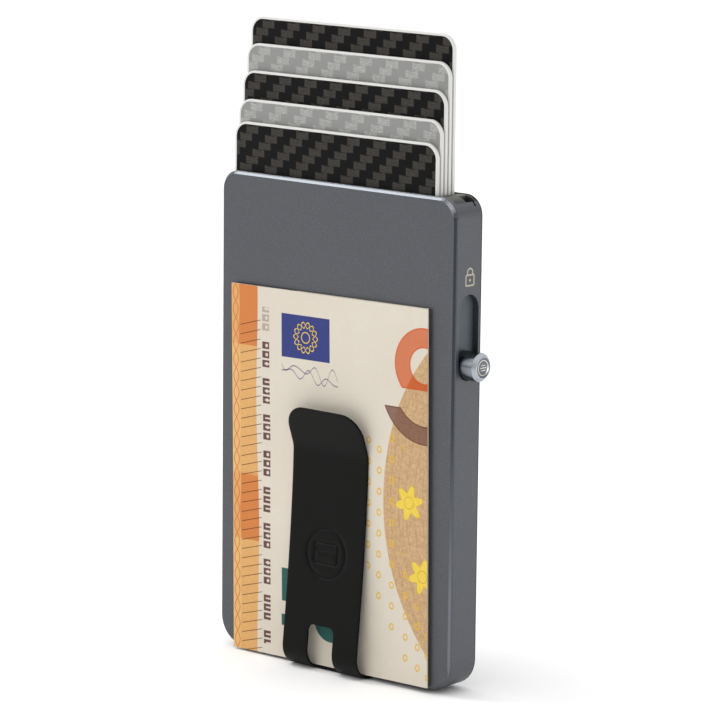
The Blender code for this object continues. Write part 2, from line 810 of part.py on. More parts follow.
def thicken(line, thickness):
    """A closed outline: the line, and back along the same line moved to its left by thickness."""
    inner = []
    for i, (y, z) in enumerate(line):
        before, after = line[max(i - 1, 0)], line[min(i + 1, len(line) - 1)]
        along = Vector((after[0] - before[0], after[1] - before[1])).normalized()
        inner.append((y + along.y * thickness, z - along.x * thickness))
    return line + inner[::-1]


def window_cutter(name):
    """The slot between the clip's two legs, from the blade round the bend."""
    low, high = -1.0 * MM, WINDOW_TOP
    outline = [(-WINDOW_HALF, low), (WINDOW_HALF, low)]
    outline += arc(WINDOW_HALF - WINDOW_CORNER, high - WINDOW_CORNER, WINDOW_CORNER, 0, 90, 4)
    outline += arc(-WINDOW_HALF + WINDOW_CORNER, high - WINDOW_CORNER, WINDOW_CORNER, 90, 180, 4)
    return prism_along_y(name, outline, CASE_FRONT - 20.0 * MM, WINDOW_BACK)


def build_clip():
    """Spring-steel clip: a foot screwed under the case, a bend in front of it and a blade with a lip.
    Foot and blade are one strip on the real clip; they part at the bend so that the blade can flex."""
    bend = [
        (
            BEND_Y + BEND_RADIUS * math.cos(math.radians(turn)),
            BEND_Z + BEND_RADIUS * math.sin(math.radians(turn)),
        )
        for turn in [270 - 6 * i for i in range(17)]
    ]
    outline = thicken([(CLIP_FOOT_BACK, 0.0), *bend], CLIP_SHEET)
    foot = prism_along_x("clip_foot", outline, -CLIP_WIDTH / 2, CLIP_WIDTH / 2, black_steel())
    seats = [
        countersink(
            f"foot_seat_cutter_{i}",
            "Z",
            (x, 0, 0),
            0.0,
            1,
            CLIP_SCREW_HEAD,
            CLIP_HEAD_DEPTH,
            CLIP_SCREW_RADIUS,
            CLIP_SCREW_LENGTH,
        )
        for i, x in enumerate((-CLIP_SCREW_X, CLIP_SCREW_X))
    ]
    cut(foot, window_cutter("foot_window_cutter"), *seats)
    for side, x in (("left", -CLIP_SCREW_X), ("right", CLIP_SCREW_X)):
        screw(
            "clip_screw_" + side,
            "Z",
            (x, 0, 0),
            0.05 * MM,
            1,
            CLIP_SCREW_HEAD,
            CLIP_HEAD_DEPTH,
            CLIP_SCREW_RADIUS,
            CLIP_SCREW_LENGTH,
            black_steel(),
        )
    line = blade_line()
    line[0] = (line[0][0], line[0][1] + BLADE_GAP)
    sheet = thicken(line, CLIP_SHEET)
    blade = prism_along_x("clip_blade", sheet, -CLIP_WIDTH / 2, CLIP_WIDTH / 2, black_steel())
    corners = []
    for side in (-1, 1):
        middle_x = side * (CLIP_WIDTH / 2 - LIP_CORNER)
        middle_z = LIP_TOP - LIP_CORNER
        start, end = (90, 0) if side > 0 else (90, 180)
        round_edge = arc(middle_x, middle_z, LIP_CORNER, start, end)
        far_x = side * (CLIP_WIDTH / 2 + 2.0 * MM)
        far_z = LIP_TOP + 2.0 * MM
        outline = round_edge + [(far_x, middle_z), (far_x, far_z), (middle_x, far_z)]
        name = "lip_corner_cutter_" + ("right" if side > 0 else "left")
        corners.append(prism_along_y(name, outline, CASE_FRONT - 20.0 * MM, CASE_FRONT))
    cut(blade, window_cutter("blade_window_cutter"), *corners)


def build_note():
    """A banknote folded in three, leaning a little in the clip."""
    half_width, half_height = NOTE_WIDTH / 2, NOTE_HEIGHT / 2
    note = box(
        "banknote",
        (-half_width, -NOTE_THICKNESS, -half_height),
        (half_width, 0.0, half_height),
        paper(),
    )
    note.location = (NOTE_X, NOTE_BACK, NOTE_Z)
    note.rotation_euler = (0, math.radians(-NOTE_TILT_DEG), 0)


def main():
    clear_scene()
    build_shell()
    build_cover()
    build_cover_screws()
    build_rail()
    build_ledge()
    build_pads()
    build_pivot()
    build_lever()
    build_slider()
    build_detent()
    build_cards()
    build_clip()
    build_note()


main()
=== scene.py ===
"""The look of the card wallet: procedural materials, the spring clip, the folded note, the printed
cards and the knob, in a plain studio.

Lengths are in metres in the part's own frame: X across the case towards the knob, Y from the clip to
the back cover, Z up. Patterns inside the materials are drawn in millimetres.
"""

import math

import bmesh
import bpy
from mathutils import Matrix, Vector
from mathutils.geometry import delaunay_2d_cdt


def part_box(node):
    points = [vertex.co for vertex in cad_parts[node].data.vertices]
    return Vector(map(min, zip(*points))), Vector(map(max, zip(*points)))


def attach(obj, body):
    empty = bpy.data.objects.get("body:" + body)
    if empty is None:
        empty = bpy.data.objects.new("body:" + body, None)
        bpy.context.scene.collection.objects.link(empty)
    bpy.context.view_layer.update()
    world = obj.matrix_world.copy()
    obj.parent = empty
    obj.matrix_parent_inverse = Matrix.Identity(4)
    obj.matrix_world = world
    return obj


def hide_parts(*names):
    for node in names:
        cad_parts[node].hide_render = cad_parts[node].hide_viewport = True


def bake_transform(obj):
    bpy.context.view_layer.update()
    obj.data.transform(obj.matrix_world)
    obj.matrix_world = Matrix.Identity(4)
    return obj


MM = 0.001
PAGE = 1000.0

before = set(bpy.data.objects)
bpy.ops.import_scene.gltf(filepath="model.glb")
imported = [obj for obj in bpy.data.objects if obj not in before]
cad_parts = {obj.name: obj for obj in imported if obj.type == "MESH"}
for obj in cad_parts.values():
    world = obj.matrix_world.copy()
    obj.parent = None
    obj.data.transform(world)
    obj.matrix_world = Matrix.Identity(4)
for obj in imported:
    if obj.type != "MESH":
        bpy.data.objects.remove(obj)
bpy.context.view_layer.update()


# Where things are, taken from the frame


class Place:
    shell_low, shell_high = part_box("front_shell")
    cover_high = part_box("back_cover")[1]
    knob_low, knob_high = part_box("slide_knob")
    foot_low, foot_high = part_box("clip_foot")
    blade_low, blade_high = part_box("clip_blade")
    note_low, note_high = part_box("banknote")


CASE_FRONT = Place.shell_low.y
CASE_BOTTOM = Place.shell_low.z
CASE_RIGHT = Place.shell_high.x
EDGE_CHAMFER = 0.6 * MM
CARD_COUNT = 5


# Patterns in materials


class Field:
    """A number that varies over a surface, held as a socket in a material's node tree."""

    def __init__(self, tree, socket):
        self.tree = tree
        self.socket = socket

    def math(self, operation, other=None):
        node = self.tree.nodes.new("ShaderNodeMath")
        node.operation = operation
        self.tree.links.new(self.socket, node.inputs[0])
        if isinstance(other, Field):
            self.tree.links.new(other.socket, node.inputs[1])
        elif other is not None:
            node.inputs[1].default_value = other
        return Field(self.tree, node.outputs[0])

    def __add__(self, other):
        return self.math("ADD", other)

    def __sub__(self, other):
        return self.math("SUBTRACT", other)

    def __mul__(self, other):
        return self.math("MULTIPLY", other)

    def __truediv__(self, other):
        return self.math("DIVIDE", other)

    def __neg__(self):
        return self.math("MULTIPLY", -1.0)

    def __abs__(self):
        return self.math("ABSOLUTE")

    def minimum(self, other):
        return self.math("MINIMUM", other)

    def maximum(self, other):
        return self.math("MAXIMUM", other)

    def power(self, other):
        return self.math("POWER", other)

    def sine(self):
        return self.math("SINE")

    def cosine(self):
        return self.math("COSINE")

    def floor(self):
        return self.math("FLOOR")

    def fraction(self):
        return self.math("FRACT")

    def angle_from(self, other):
        return self.math("ARCTAN2", other)

    def clamp(self):
        return self.math("MAXIMUM", 0.0).math("MINIMUM", 1.0)


def inside(distance, softness=0.06):
    """1 where the signed distance is negative, 0 where it is positive, with a soft edge."""
    return (distance * (-1.0 / softness) + 0.5).clamp()


def length_of(x, z):
    return (x * x + z * z).power(0.5)


def disc(x, z, centre_x, centre_z, radius):
    return length_of(x - centre_x, z - centre_z) - radius


def ring(x, z, centre_x, centre_z, radius, width):
    return abs(disc(x, z, centre_x, centre_z, radius)) - width / 2


def rectangle(x, z, centre_x, centre_z, half_width, half_height, corner=0.0):
    across = (abs(x - centre_x) - (half_width - corner)).maximum(0.0)
    up = (abs(z - centre_z) - (half_height - corner)).maximum(0.0)
    if corner:
        return length_of(across, up) - corner
    return (abs(x - centre_x) - half_width).maximum(abs(z - centre_z) - half_height)


class Surface:
    """A Principled material with helpers to build its patterns."""

    def __init__(self, name, roughness=0.5, metallic=0.0):
        self.material = bpy.data.materials.new(name)
        self.material.use_nodes = True
        self.tree = self.material.node_tree
        self.shader = self.tree.nodes["Principled BSDF"]
        self.shader.inputs["Roughness"].default_value = roughness
        self.shader.inputs["Metallic"].default_value = metallic
        self.place = self.tree.nodes.new("ShaderNodeTexCoord").outputs["Object"]

    def link(self, source, target):
        self.tree.links.new(source, target)

    def page(self, origin=(0.0, 0.0, 0.0)):
        """x, y, z in millimetres from an origin given in metres."""
        split = self.tree.nodes.new("ShaderNodeSeparateXYZ")
        self.link(self.place, split.inputs[0])
        fields = (Field(self.tree, split.outputs[i]) for i in range(3))
        return [(field - start) * PAGE for field, start in zip(fields, origin)]

    def at(self, x, y, z):
        join = self.tree.nodes.new("ShaderNodeCombineXYZ")
        for slot, value in enumerate((x, y, z)):
            if isinstance(value, Field):
                self.link(value.socket, join.inputs[slot])
            else:
                join.inputs[slot].default_value = value
        return join.outputs[0]

    def noise(self, scale, detail=2.0, stretch=(1.0, 1.0, 1.0), where=None):
        """Noise with about scale features in each metre, between 0 and 1."""
        mapping = self.tree.nodes.new("ShaderNodeMapping")
        mapping.inputs["Scale"].default_value = stretch
        self.link(where or self.place, mapping.inputs[0])
        texture = self.tree.nodes.new("ShaderNodeTexNoise")
        texture.inputs["Scale"].default_value = scale
        texture.inputs["Detail"].default_value = detail
        self.link(mapping.outputs[0], texture.inputs["Vector"])
        return Field(self.tree, texture.outputs[0])

    def attribute(self, name):
        node = self.tree.nodes.new("ShaderNodeAttribute")
        node.attribute_name = name
        return Field(self.tree, node.outputs["Fac"])

    def mix(self, share, low, high):
        """low where share is 0 and high where it is 1. Colours are tuples or sockets."""
        node = self.tree.nodes.new("ShaderNodeMix")
        node.data_type = "RGBA"
        self.link(share.socket, node.inputs[0])
        for slot, value in ((6, low), (7, high)):
            if isinstance(value, tuple):
                node.inputs[slot].default_value = (*value, 1.0)
            else:
                self.link(value, node.inputs[slot])
        return node.outputs[2]

    def between(self, share, low, high):
        return share * (high - low) + low

    def bump(self, height, strength=0.3, distance=0.05 * MM):
        node = self.tree.nodes.new("ShaderNodeBump")
        node.inputs["Strength"].default_value = strength
        node.inputs["Distance"].default_value = distance
        self.link(height.socket, node.inputs["Height"])
        self.link(node.outputs[0], self.shader.inputs["Normal"])

    def finish(self, colour, roughness=None):
        self.link(colour, self.shader.inputs["Base Color"])
        if roughness is not None:
            self.link(roughness.socket, self.shader.inputs["Roughness"])
        return self.material


def srgb(red, green, blue):
    """A colour given in 0 to 255 display values, as linear light."""
    linear = []
    for value in (red, green, blue):
        share = value / 255
        linear.append(share / 12.92 if share <= 0.04045 else ((share + 0.055) / 1.055) ** 2.4)
    return tuple(linear)


def anodised(name, base, speck, roughness=0.42):
    """Bead-blasted, anodised aluminium: fine pits, pale specks and a faint cloudiness."""
    surface = Surface(name, roughness, 0.75)
    grain = surface.noise(7000.0, 3.0)
    blast = surface.noise(3400.0, 1.5)
    cloud = surface.noise(60.0, 3.0)
    specks = ((blast - 0.55) * 5.0).clamp()
    dark, light = (tuple(c * share for c in base) for share in (0.9, 1.1))
    colour = surface.mix((cloud * 0.3 + blast * 0.7 - 0.2) / 0.6, dark, light)
    colour = surface.mix(specks * 0.25, colour, speck)
    surface.bump(grain * 0.5 + blast * 0.5, 0.18, 0.02 * MM)
    return surface, colour, surface.between(grain, roughness - 0.08, roughness + 0.08)


# Painted reflection on the case's chamfer: painted shade and light, and painted highlights along the top and
# at one corner
CHAMFER_PAINTED_SHADE = srgb(56, 59, 64)
CHAMFER_PAINTED_LIGHT = srgb(112, 115, 121)
CHAMFER_TOP_HIGHLIGHT = srgb(80, 83, 87)
CHAMFER_CORNER_HIGHLIGHT = srgb(172, 175, 180)
CHAMFER_SHOWING = 0.42
CHAMFER_CURVE = 4.2


def polish_chamfer_with_painted_reflection(surface, colour, roughness, face_y, outward):
    """The cut chamfer round a face: smoother, uncoated metal beside the blasted anodising.

    Its colour is a painted reflection: painted shade darkens it upwards all the way round, a painted
    highlight runs along the top and a brighter painted highlight sits at the upper corner on the knob's
    side.
    """
    x, y, z = surface.page((0.0, face_y, (Place.shell_low.z + Place.shell_high.z) / 2))
    half_width = (Place.shell_high.x - Place.shell_low.x) / 2 / MM
    half_height = (Place.shell_high.z - Place.shell_low.z) / 2 / MM
    chamfer = EDGE_CHAMFER / MM
    rim = -rectangle(x, z, 0.0, 0.0, half_width - chamfer, half_height - chamfer, CHAMFER_CURVE)
    band = inside(rim, 0.04) * inside(y * -outward - CHAMFER_SHOWING, 0.06)
    top = ((z - (half_height - 4.0)) / 2.0).clamp()
    corner = top * ((x - (half_width - 3.5)) / 1.6).clamp()
    scratches = surface.noise(2500.0, 2.0)
    # Painted reflection: painted shade darkening upwards, a painted highlight along the top and a brighter
    # one at the upper corner on the knob's side
    painted_reflection = surface.mix((z + 30.0) / 35.0, CHAMFER_PAINTED_LIGHT, CHAMFER_PAINTED_SHADE)
    painted_reflection = surface.mix(top, painted_reflection, CHAMFER_TOP_HIGHLIGHT)
    painted_reflection = surface.mix(corner * 0.7, painted_reflection, CHAMFER_CORNER_HIGHLIGHT)
    colour = surface.mix(band * (scratches * 0.3 + 0.7), colour, painted_reflection)
    metal = band * 0.25 + 0.75
    surface.link(metal.socket, surface.shader.inputs["Metallic"])
    return colour, roughness + band * -0.2


CASE_GREY = srgb(86, 88, 92)
CASE_SPECK = srgb(112, 118, 128)
ICON_TAN = srgb(186, 178, 162)
ICON_Y = 0.15 * MM
ICON_HEIGHT = 83.55 * MM
ICON_LINE = 0.3


def shell_material():
    """The case's anodising, with a padlock marked above the slot."""
    surface, colour, roughness = anodised("case_anodised", CASE_GREY, CASE_SPECK)
    x, y, z = surface.page((CASE_RIGHT, ICON_Y, CASE_BOTTOM + ICON_HEIGHT))
    body = abs(rectangle(y, z, 0.0, 0.0, 1.25, 1.05, 0.25)) - ICON_LINE / 2
    shackle = (ring(y, z, 0.0, 1.55, 0.8, ICON_LINE)).maximum(-(z - 1.45))
    legs = (abs(abs(y) - 0.8) - ICON_LINE / 2).maximum(abs(z - 1.25) - 0.25)
    keyhole = disc(y, z, 0.0, 0.0, 0.28)
    mark = inside(body.minimum(shackle).minimum(legs).minimum(keyhole))
    mark = mark * inside(abs(x) - 0.3)
    colour, roughness = polish_chamfer_with_painted_reflection(surface, colour, roughness, CASE_FRONT, -1.0)
    colour = surface.mix(mark * 0.9, colour, ICON_TAN)
    roughness = roughness + mark * 0.15
    return surface.finish(colour, roughness)


def cover_material():
    surface, colour, roughness = anodised("cover_anodised", CASE_GREY, CASE_SPECK)
    colour, roughness = polish_chamfer_with_painted_reflection(surface, colour, roughness, Place.cover_high.y, 1.0)
    return surface.finish(colour, roughness)


def plate_material():
    """Blue-grey slider strip, drawn along its length."""
    surface = Surface("slider_plate_finish", 0.45, 0.3)
    lines = surface.noise(7000.0, 2.0, (1.0, 1.0, 0.02))
    colour = surface.mix(lines, srgb(66, 75, 80), srgb(76, 86, 90))
    surface.bump(lines, 0.15, 0.02 * MM)
    return surface.finish(colour, surface.between(lines, 0.32, 0.5))


def brushed(name, dark, light, axis, roughness=0.32):
    """Metal brushed or turned about one axis."""
    surface = Surface(name, roughness, 1.0)
    stretch = [0.05, 0.05, 0.05]
    stretch[axis] = 1.0
    lines = surface.noise(12000.0, 3.0, tuple(stretch))
    cloud = surface.noise(500.0, 2.0)
    colour = surface.mix(lines * 0.7 + cloud * 0.3, dark, light)
    surface.bump(lines, 0.12, 0.02 * MM)
    return surface.finish(colour, surface.between(lines, roughness - 0.08, roughness + 0.1))


# Near-black painted shade, laid on plastic below a given height
RECESS_PAINTED_SHADE = srgb(20, 20, 21)


def plastic(name, base, roughness=0.55, painted_shade_below=None):
    """Moulded plastic with a fine spark-eroded texture, and painted shade below a height where one is given.
    """
    surface = Surface(name, roughness)
    grain = surface.noise(5000.0, 3.0)
    cloud = surface.noise(120.0, 2.0)
    colour = surface.mix(cloud, tuple(c * 0.88 for c in base), tuple(c * 1.1 for c in base))
    if painted_shade_below is not None:
        z = surface.page((0.0, 0.0, painted_shade_below))[2]
        # Painted shade: the plastic is darkened below the given height
        colour = surface.mix(inside(z + 0.45, 0.5) * 0.75, colour, RECESS_PAINTED_SHADE)
    surface.bump(grain, 0.25, 0.03 * MM)
    return surface.finish(colour, surface.between(grain, roughness - 0.08, roughness + 0.08))


def felt_material():
    surface = Surface("black_felt", 0.95)
    fibres = surface.noise(4000.0, 6.0, (1.0, 1.0, 0.3))
    colour = surface.mix(fibres, srgb(18, 18, 19), srgb(46, 45, 44))
    surface.bump(fibres, 0.8, 0.1 * MM)
    return surface.finish(colour)


def clip_material():
    """Black oxide on spring steel: satin, with a fine grain and a warm cast."""
    surface = Surface("black_oxide", 0.5)
    surface.shader.inputs["Specular IOR Level"].default_value = 0.11
    grain = surface.noise(6500.0, 4.0)
    cloud = surface.noise(90.0, 3.0)
    colour = surface.mix(cloud * 0.6 + grain * 0.4, srgb(7, 7, 6), srgb(12, 12, 11))
    surface.bump(grain, 0.12, 0.02 * MM)
    return surface.finish(colour, surface.between(grain, 0.44, 0.58))


# Printed cards

WEAVE_ACROSS = 1.71
WEAVE_UP = 1.56
BLOCK_SHARE = 0.475
CARD_RIM = 0.45
CARD_SIZE = (53.98, 85.6, 0.76)
CARD_CORNER = 3.18
CARD_EASE = 0.1 * MM
CARD_WHITE = srgb(214, 213, 210)
BLACK_INKS = (srgb(11, 11, 12), srgb(60, 57, 54), srgb(14, 14, 14))
GREY_INKS = (srgb(138, 138, 137), srgb(160, 160, 157), srgb(130, 131, 131))


def card_print(name, ground, block, dash, centre):
    """Carbon-look print in a white rim: staircases of blocks, crossed by ragged lines and topped by a
    short one."""
    surface = Surface(name, 0.5)
    surface.shader.inputs["Specular IOR Level"].default_value = 0.07
    x, y, z = surface.page(centre)
    row = (z / WEAVE_UP).floor()
    lane = (z / WEAVE_UP).fraction()
    share = ((x / WEAVE_ACROSS - row) / 4.0).fraction()
    woven = inside(abs(share - 0.25) - BLOCK_SHARE / 2, 0.02)
    woven = woven * inside(abs(lane - 0.5) - 0.5, 0.08)
    streaks = surface.noise(1500.0, 3.0, (1.0, 1.0, 5.0))
    ribs = surface.noise(1700.0, 2.0, (3.0, 1.0, 0.3))
    ragged = surface.noise(1100.0, 1.0, (1.0, 1.0, 0.6))
    rib_lines = inside(abs((lane * 4.0).fraction() - 0.5) - 0.13, 0.12)
    rib_lines = rib_lines * ((ragged - 0.36) * 6.0).clamp()
    top_line = inside(abs(lane - 0.94) - 0.05, 0.04) * inside(abs(share - 0.24) - 0.13, 0.05)
    dashes = (rib_lines * 0.5).maximum(top_line)
    colour = surface.mix(ribs * 0.1, ground, block)
    thread_dark, thread_light = (tuple(c * share for c in block) for share in (0.75, 1.25))
    thread = surface.mix((streaks - 0.3) / 0.4, thread_dark, thread_light)
    colour = surface.mix(woven, colour, thread)
    colour = surface.mix(dashes * woven * 0.8, colour, dash)
    half_width, half_height = (side / 2 - CARD_RIM for side in CARD_SIZE[:2])
    rim = rectangle(x, z, 0.0, 0.0, half_width, half_height, CARD_CORNER - CARD_RIM)
    face = inside(abs(abs(y) - CARD_SIZE[2] / 2) - 0.06, 0.02)
    colour = surface.mix(inside(rim) * face, CARD_WHITE, colour)
    surface.bump(woven * 0.5 + streaks * 0.5, 0.08, 0.02 * MM)
    return surface.finish(colour, surface.between(streaks, 0.45, 0.58))


def add_object(name, mesh_data, surface=None):
    made = bpy.data.objects.new(name, mesh_data)
    bpy.context.scene.collection.objects.link(made)
    if surface:
        made.data.materials.append(surface)
    return made


def finish_mesh(shape, name, smooth_deg=40.0):
    bmesh.ops.recalc_face_normals(shape, faces=shape.faces)
    mesh_data = bpy.data.meshes.new(name)
    shape.to_mesh(mesh_data)
    shape.free()
    mesh_data.shade_smooth()
    mesh_data.set_sharp_from_angle(angle=math.radians(smooth_deg))
    return mesh_data


def box_outline(left, right, low, high, corners, steps):
    """Counter-clockwise outline of a rectangle. corners are the radii at bottom right, top right,
    top left and bottom left."""
    signs = (
        (right, low, -1, 1, -90),
        (right, high, -1, -1, 0),
        (left, high, 1, -1, 90),
        (left, low, 1, 1, 180),
    )
    points = []
    for (edge_x, edge_z, side_x, side_z, start), corner in zip(signs, corners):
        for i in range(steps + 1):
            turn = math.radians(start + 90 * i / steps)
            x = edge_x + side_x * corner + corner * math.cos(turn)
            z = edge_z + side_z * corner + corner * math.sin(turn)
            points.append((x, z))
    return points


def rounded_rectangle(half_width, half_height, corner, steps):
    """The outline of a rectangle about the origin with four equal round corners."""
    return box_outline(-half_width, half_width, -half_height, half_height, (corner,) * 4, steps)


def loft(name, rings, surface=None, smooth_deg=40.0):
    """A closed solid through rings of equal point count, capped at both ends."""
    shape = bmesh.new()
    rows = [[shape.verts.new(point) for point in points] for points in rings]
    count = len(rows[0])
    for low, high in zip(rows, rows[1:]):
        for i in range(count):
            j = (i + 1) % count
            shape.faces.new((low[i], low[j], high[j], high[i]))
    shape.faces.new(rows[0])
    shape.faces.new(rows[-1])
    return add_object(name, finish_mesh(shape, name, smooth_deg), surface)


def build_card(index):
    """One card with smooth corners and slightly rounded edges, standing for its CAD node."""
    node = f"card_{index + 1}"
    low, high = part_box(node)
    centre = (low + high) / 2
    half_width, half_height = (high.x - low.x) / 2, (high.z - low.z) / 2
    ground, block, dash = GREY_INKS if index % 2 else BLACK_INKS
    print_material = card_print(f"card_print_{index + 1}", ground, block, dash, centre)
    steps = 4
    levels = []
    for step in range(steps + 1):
        turn = math.radians(90 * step / steps)
        inset, depth = CARD_EASE * (1 - math.sin(turn)), CARD_EASE * (1 - math.cos(turn))
        levels.append((inset, low.y + depth))
    levels += [(inset, high.y - (y - low.y)) for inset, y in reversed(levels)]
    rings = []
    for inset, y in levels:
        corner = CARD_CORNER * MM - inset
        outline = rounded_rectangle(half_width - inset, half_height - inset, corner, 20)
        rings.append([(centre.x + x, y, centre.z + z) for x, z in outline])
    card = loft(f"printed_card_{index + 1}", rings, print_material)
    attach(card, node)
    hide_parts(node)


# Knob

KNOB_SIDES = 96
KNOB_NOSE = 0.73 * MM
KNOB_SHANK_LENGTH = 1.2 * MM
KNOB_SHANK_INSET = 0.3 * MM
KNOB_FACE = 2.15 * MM
KNOB_EASE = 0.12 * MM
KNOB_DISH = 0.1 * MM
KNOB_RADIUS_MM = 2.9
MARK_RING_MM = 1.5
PRINTED_FACE_MM = 2.05


def knob_material(centre):
    """Turned aluminium: rings round its face, painted shade and painted reflection darkening its side, a
    painted highlight on the bevel and a ring round three bars.
    """
    surface = Surface("turned_knob", 0.3, 1.0)
    x, y, z = surface.page(centre)
    radius = length_of(y, z)
    turning = surface.noise(9.0, 3.0, where=surface.at(x, radius, 0.0))
    angle = y.angle_from(z)
    brush = surface.noise(4.0, 2.0, where=surface.at(x * 4.0, radius * 3.0, angle * 0.6))
    colour = surface.mix(turning * 0.5 + brush * 0.5, srgb(128, 134, 142), srgb(160, 165, 172))
    side = inside(x + 0.02, 0.05)
    # Painted shade and painted reflection: the side is darkened above and below, and towards the case
    shade = (abs(z) / KNOB_RADIUS_MM) * (abs(z) / KNOB_RADIUS_MM)
    case_shade = ((x + 0.4) / -2.8).clamp()
    colour = surface.mix(side * (shade * 0.85).maximum(case_shade * 0.4 + 0.3), colour, srgb(40, 44, 50))
    groove = abs(radius - MARK_RING_MM) - 0.09
    bars = (abs(z) - 0.09).maximum(abs(y) - 0.9)
    bars = bars.minimum((abs(abs(z) - 0.5) - 0.08).maximum(abs(y) - 0.6))
    face = inside(radius - PRINTED_FACE_MM, 0.06) * inside(-(x - 0.3), 0.02)
    bevel = (side * -1.0 + 1.0) * (face * -1.0 + 1.0)
    # Painted highlight: the bevel is lightened
    colour = surface.mix(bevel * 0.4, colour, srgb(200, 205, 211))
    mark = inside(groove.minimum(bars), 0.05) * face
    colour = surface.mix(face * 0.8, colour, srgb(92, 97, 104))
    colour = surface.mix(mark * 0.95, colour, srgb(214, 208, 194))
    surface.bump(turning * 0.5 + brush * 0.5 - mark, 0.12, 0.02 * MM)
    return surface.finish(colour, surface.between(turning, 0.2, 0.32) + bevel * 0.16)


def build_knob():
    """Knob with eased edges, standing for the CAD knob."""
    low, high = Place.knob_low, Place.knob_high
    centre = Vector(((low.x + high.x) / 2, (low.y + high.y) / 2, (low.z + high.z) / 2))
    radius = (high.z - low.z) / 2
    tip = high.x
    shaft_end = tip - KNOB_NOSE
    shank_radius, shank_end = radius - KNOB_SHANK_INSET, low.x + KNOB_SHANK_LENGTH
    profile = [
        (low.x, shank_radius),
        (shank_end, shank_radius),
        (shank_end, radius),
        (shaft_end - KNOB_EASE, radius),
        (shaft_end - KNOB_EASE * 0.3, radius - KNOB_EASE * 0.15),
        (shaft_end + KNOB_EASE * 0.3, radius - KNOB_EASE * 0.5),
        (tip - KNOB_EASE, KNOB_FACE + KNOB_EASE * 1.1),
        (tip - KNOB_EASE * 0.25, KNOB_FACE + KNOB_EASE * 0.3),
        (tip, KNOB_FACE - KNOB_EASE),
        (tip - KNOB_DISH, KNOB_FACE - 0.35 * MM),
        (tip - KNOB_DISH, 0.02 * MM),
    ]
    turns = [2 * math.pi * i / KNOB_SIDES for i in range(KNOB_SIDES)]
    rings = []
    for along, distance in profile:
        round_axis = [(distance * math.cos(turn), distance * math.sin(turn)) for turn in turns]
        rings.append([(along, centre.y + y, centre.z + z) for y, z in round_axis])
    knob = loft("turned_knob", rings, knob_material((shaft_end, centre.y, centre.z)), 35.0)
    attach(knob, "slider")
    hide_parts("slide_knob")


# Money clip

CLIP_SHEET = 0.5 * MM
BEND_RADIUS = 4.35 * MM
BEND_Y = CASE_FRONT + 0.3 * MM
BEND_END_DEG = 174.0
CONTACT_Y = CASE_FRONT - 1.1 * MM
CONTACT_Z = CASE_BOTTOM + 45.0 * MM
BLADE_POWER = 1.5
LIP_DEG = 19.5
LIP_BEND_RADIUS = 2.5 * MM
LIP_CORNER = 5.0 * MM
WINDOW_HALF = 3.4 * MM
WINDOW_CORNER = 1.3 * MM
WINDOW_LOW_CORNER = 0.5 * MM
WINDOW_TOP = 9.3 * MM
WINDOW_STAND_OFF = 0.9 * MM
FOOT_CORNER = 1.2 * MM
CLIP_EASE = 0.16 * MM
CLIP_SPACING = 0.9 * MM
FOOT_STEPS, BEND_STEPS, BLADE_STEPS, LIP_STEPS = 24, 48, 120, 12


def clip_profile():
    """Dense (y, z) points of the clip's outer face, from the end of its foot to the lip's edge."""
    foot = Place.foot_high.y - BEND_Y
    points = [(Place.foot_high.y - foot * i / FOOT_STEPS, Place.foot_low.z) for i in range(FOOT_STEPS)]
    for i in range(BEND_STEPS + 1):
        turn = math.radians(270 + (BEND_END_DEG - 270) * i / BEND_STEPS)
        points.append((BEND_Y + BEND_RADIUS * math.cos(turn), BEND_RADIUS + BEND_RADIUS * math.sin(turn)))
    start_y, start_z = points[-1]
    for i in range(1, BLADE_STEPS + 1):
        z = start_z + (CONTACT_Z - start_z) * i / BLADE_STEPS
        share = (CONTACT_Z - z) / (CONTACT_Z - start_z)
        points.append((CONTACT_Y + (start_y - CONTACT_Y) * share**BLADE_POWER, z))
    for i in range(1, LIP_STEPS + 1):
        turn = math.radians(LIP_DEG * i / LIP_STEPS)
        y = CONTACT_Y - LIP_BEND_RADIUS * (1 - math.cos(turn))
        points.append((y, CONTACT_Z + LIP_BEND_RADIUS * math.sin(turn)))
    y, z = points[-1]
    rise = Place.blade_high.z - z
    for i in range(1, LIP_STEPS + 1):
        points.append((y - rise * i / LIP_STEPS * math.tan(math.radians(LIP_DEG)), z + rise * i / LIP_STEPS))
    return points


class Strip:
    """Maps a place on the flat strip, and a depth under its outer face, to the bent clip."""

    def __init__(self, profile):
        self.points = [Vector(p) for p in profile]
        self.marks = [0.0]
        for a, b in zip(self.points, self.points[1:]):
            self.marks.append(self.marks[-1] + (b - a).length)
        self.length = self.marks[-1]
        self.normals = []
        for i in range(len(self.points)):
            along = self.points[min(i + 1, len(self.points) - 1)] - self.points[max(i - 1, 0)]
            along.normalize()
            self.normals.append(Vector((along.y, -along.x)))

    def run_at(self, z, after=0.0):
        """Distance along the strip where it first reaches a height, past the given distance."""
        for i, point in enumerate(self.points):
            if self.marks[i] > after and point.y >= z:
                return self.marks[i]
        return self.length

    def place(self, x, run, depth):
        run = min(max(run, 0.0), self.length)
        low, high = 0, len(self.marks) - 1
        while low < high - 1:
            i = (low + high) // 2
            if self.marks[i] <= run:
                low = i
            else:
                high = i
        share = (run - self.marks[low]) / (self.marks[high] - self.marks[low])
        point = self.points[low].lerp(self.points[high], share)
        normal = self.normals[low].lerp(self.normals[high], share).normalized()
        point = point + normal * depth
        return Vector((x, point.x, point.y))


def resample(outline, spacing):
    """Extra points along the outline's long edges, so that it can bend."""
    points = []
    for (ax, az), (bx, bz) in zip(outline, outline[1:] + outline[:1]):
        steps = max(1, math.ceil(math.hypot(bx - ax, bz - az) / spacing))
        points += [(ax + (bx - ax) * i / steps, az + (bz - az) * i / steps) for i in range(steps)]
    return points


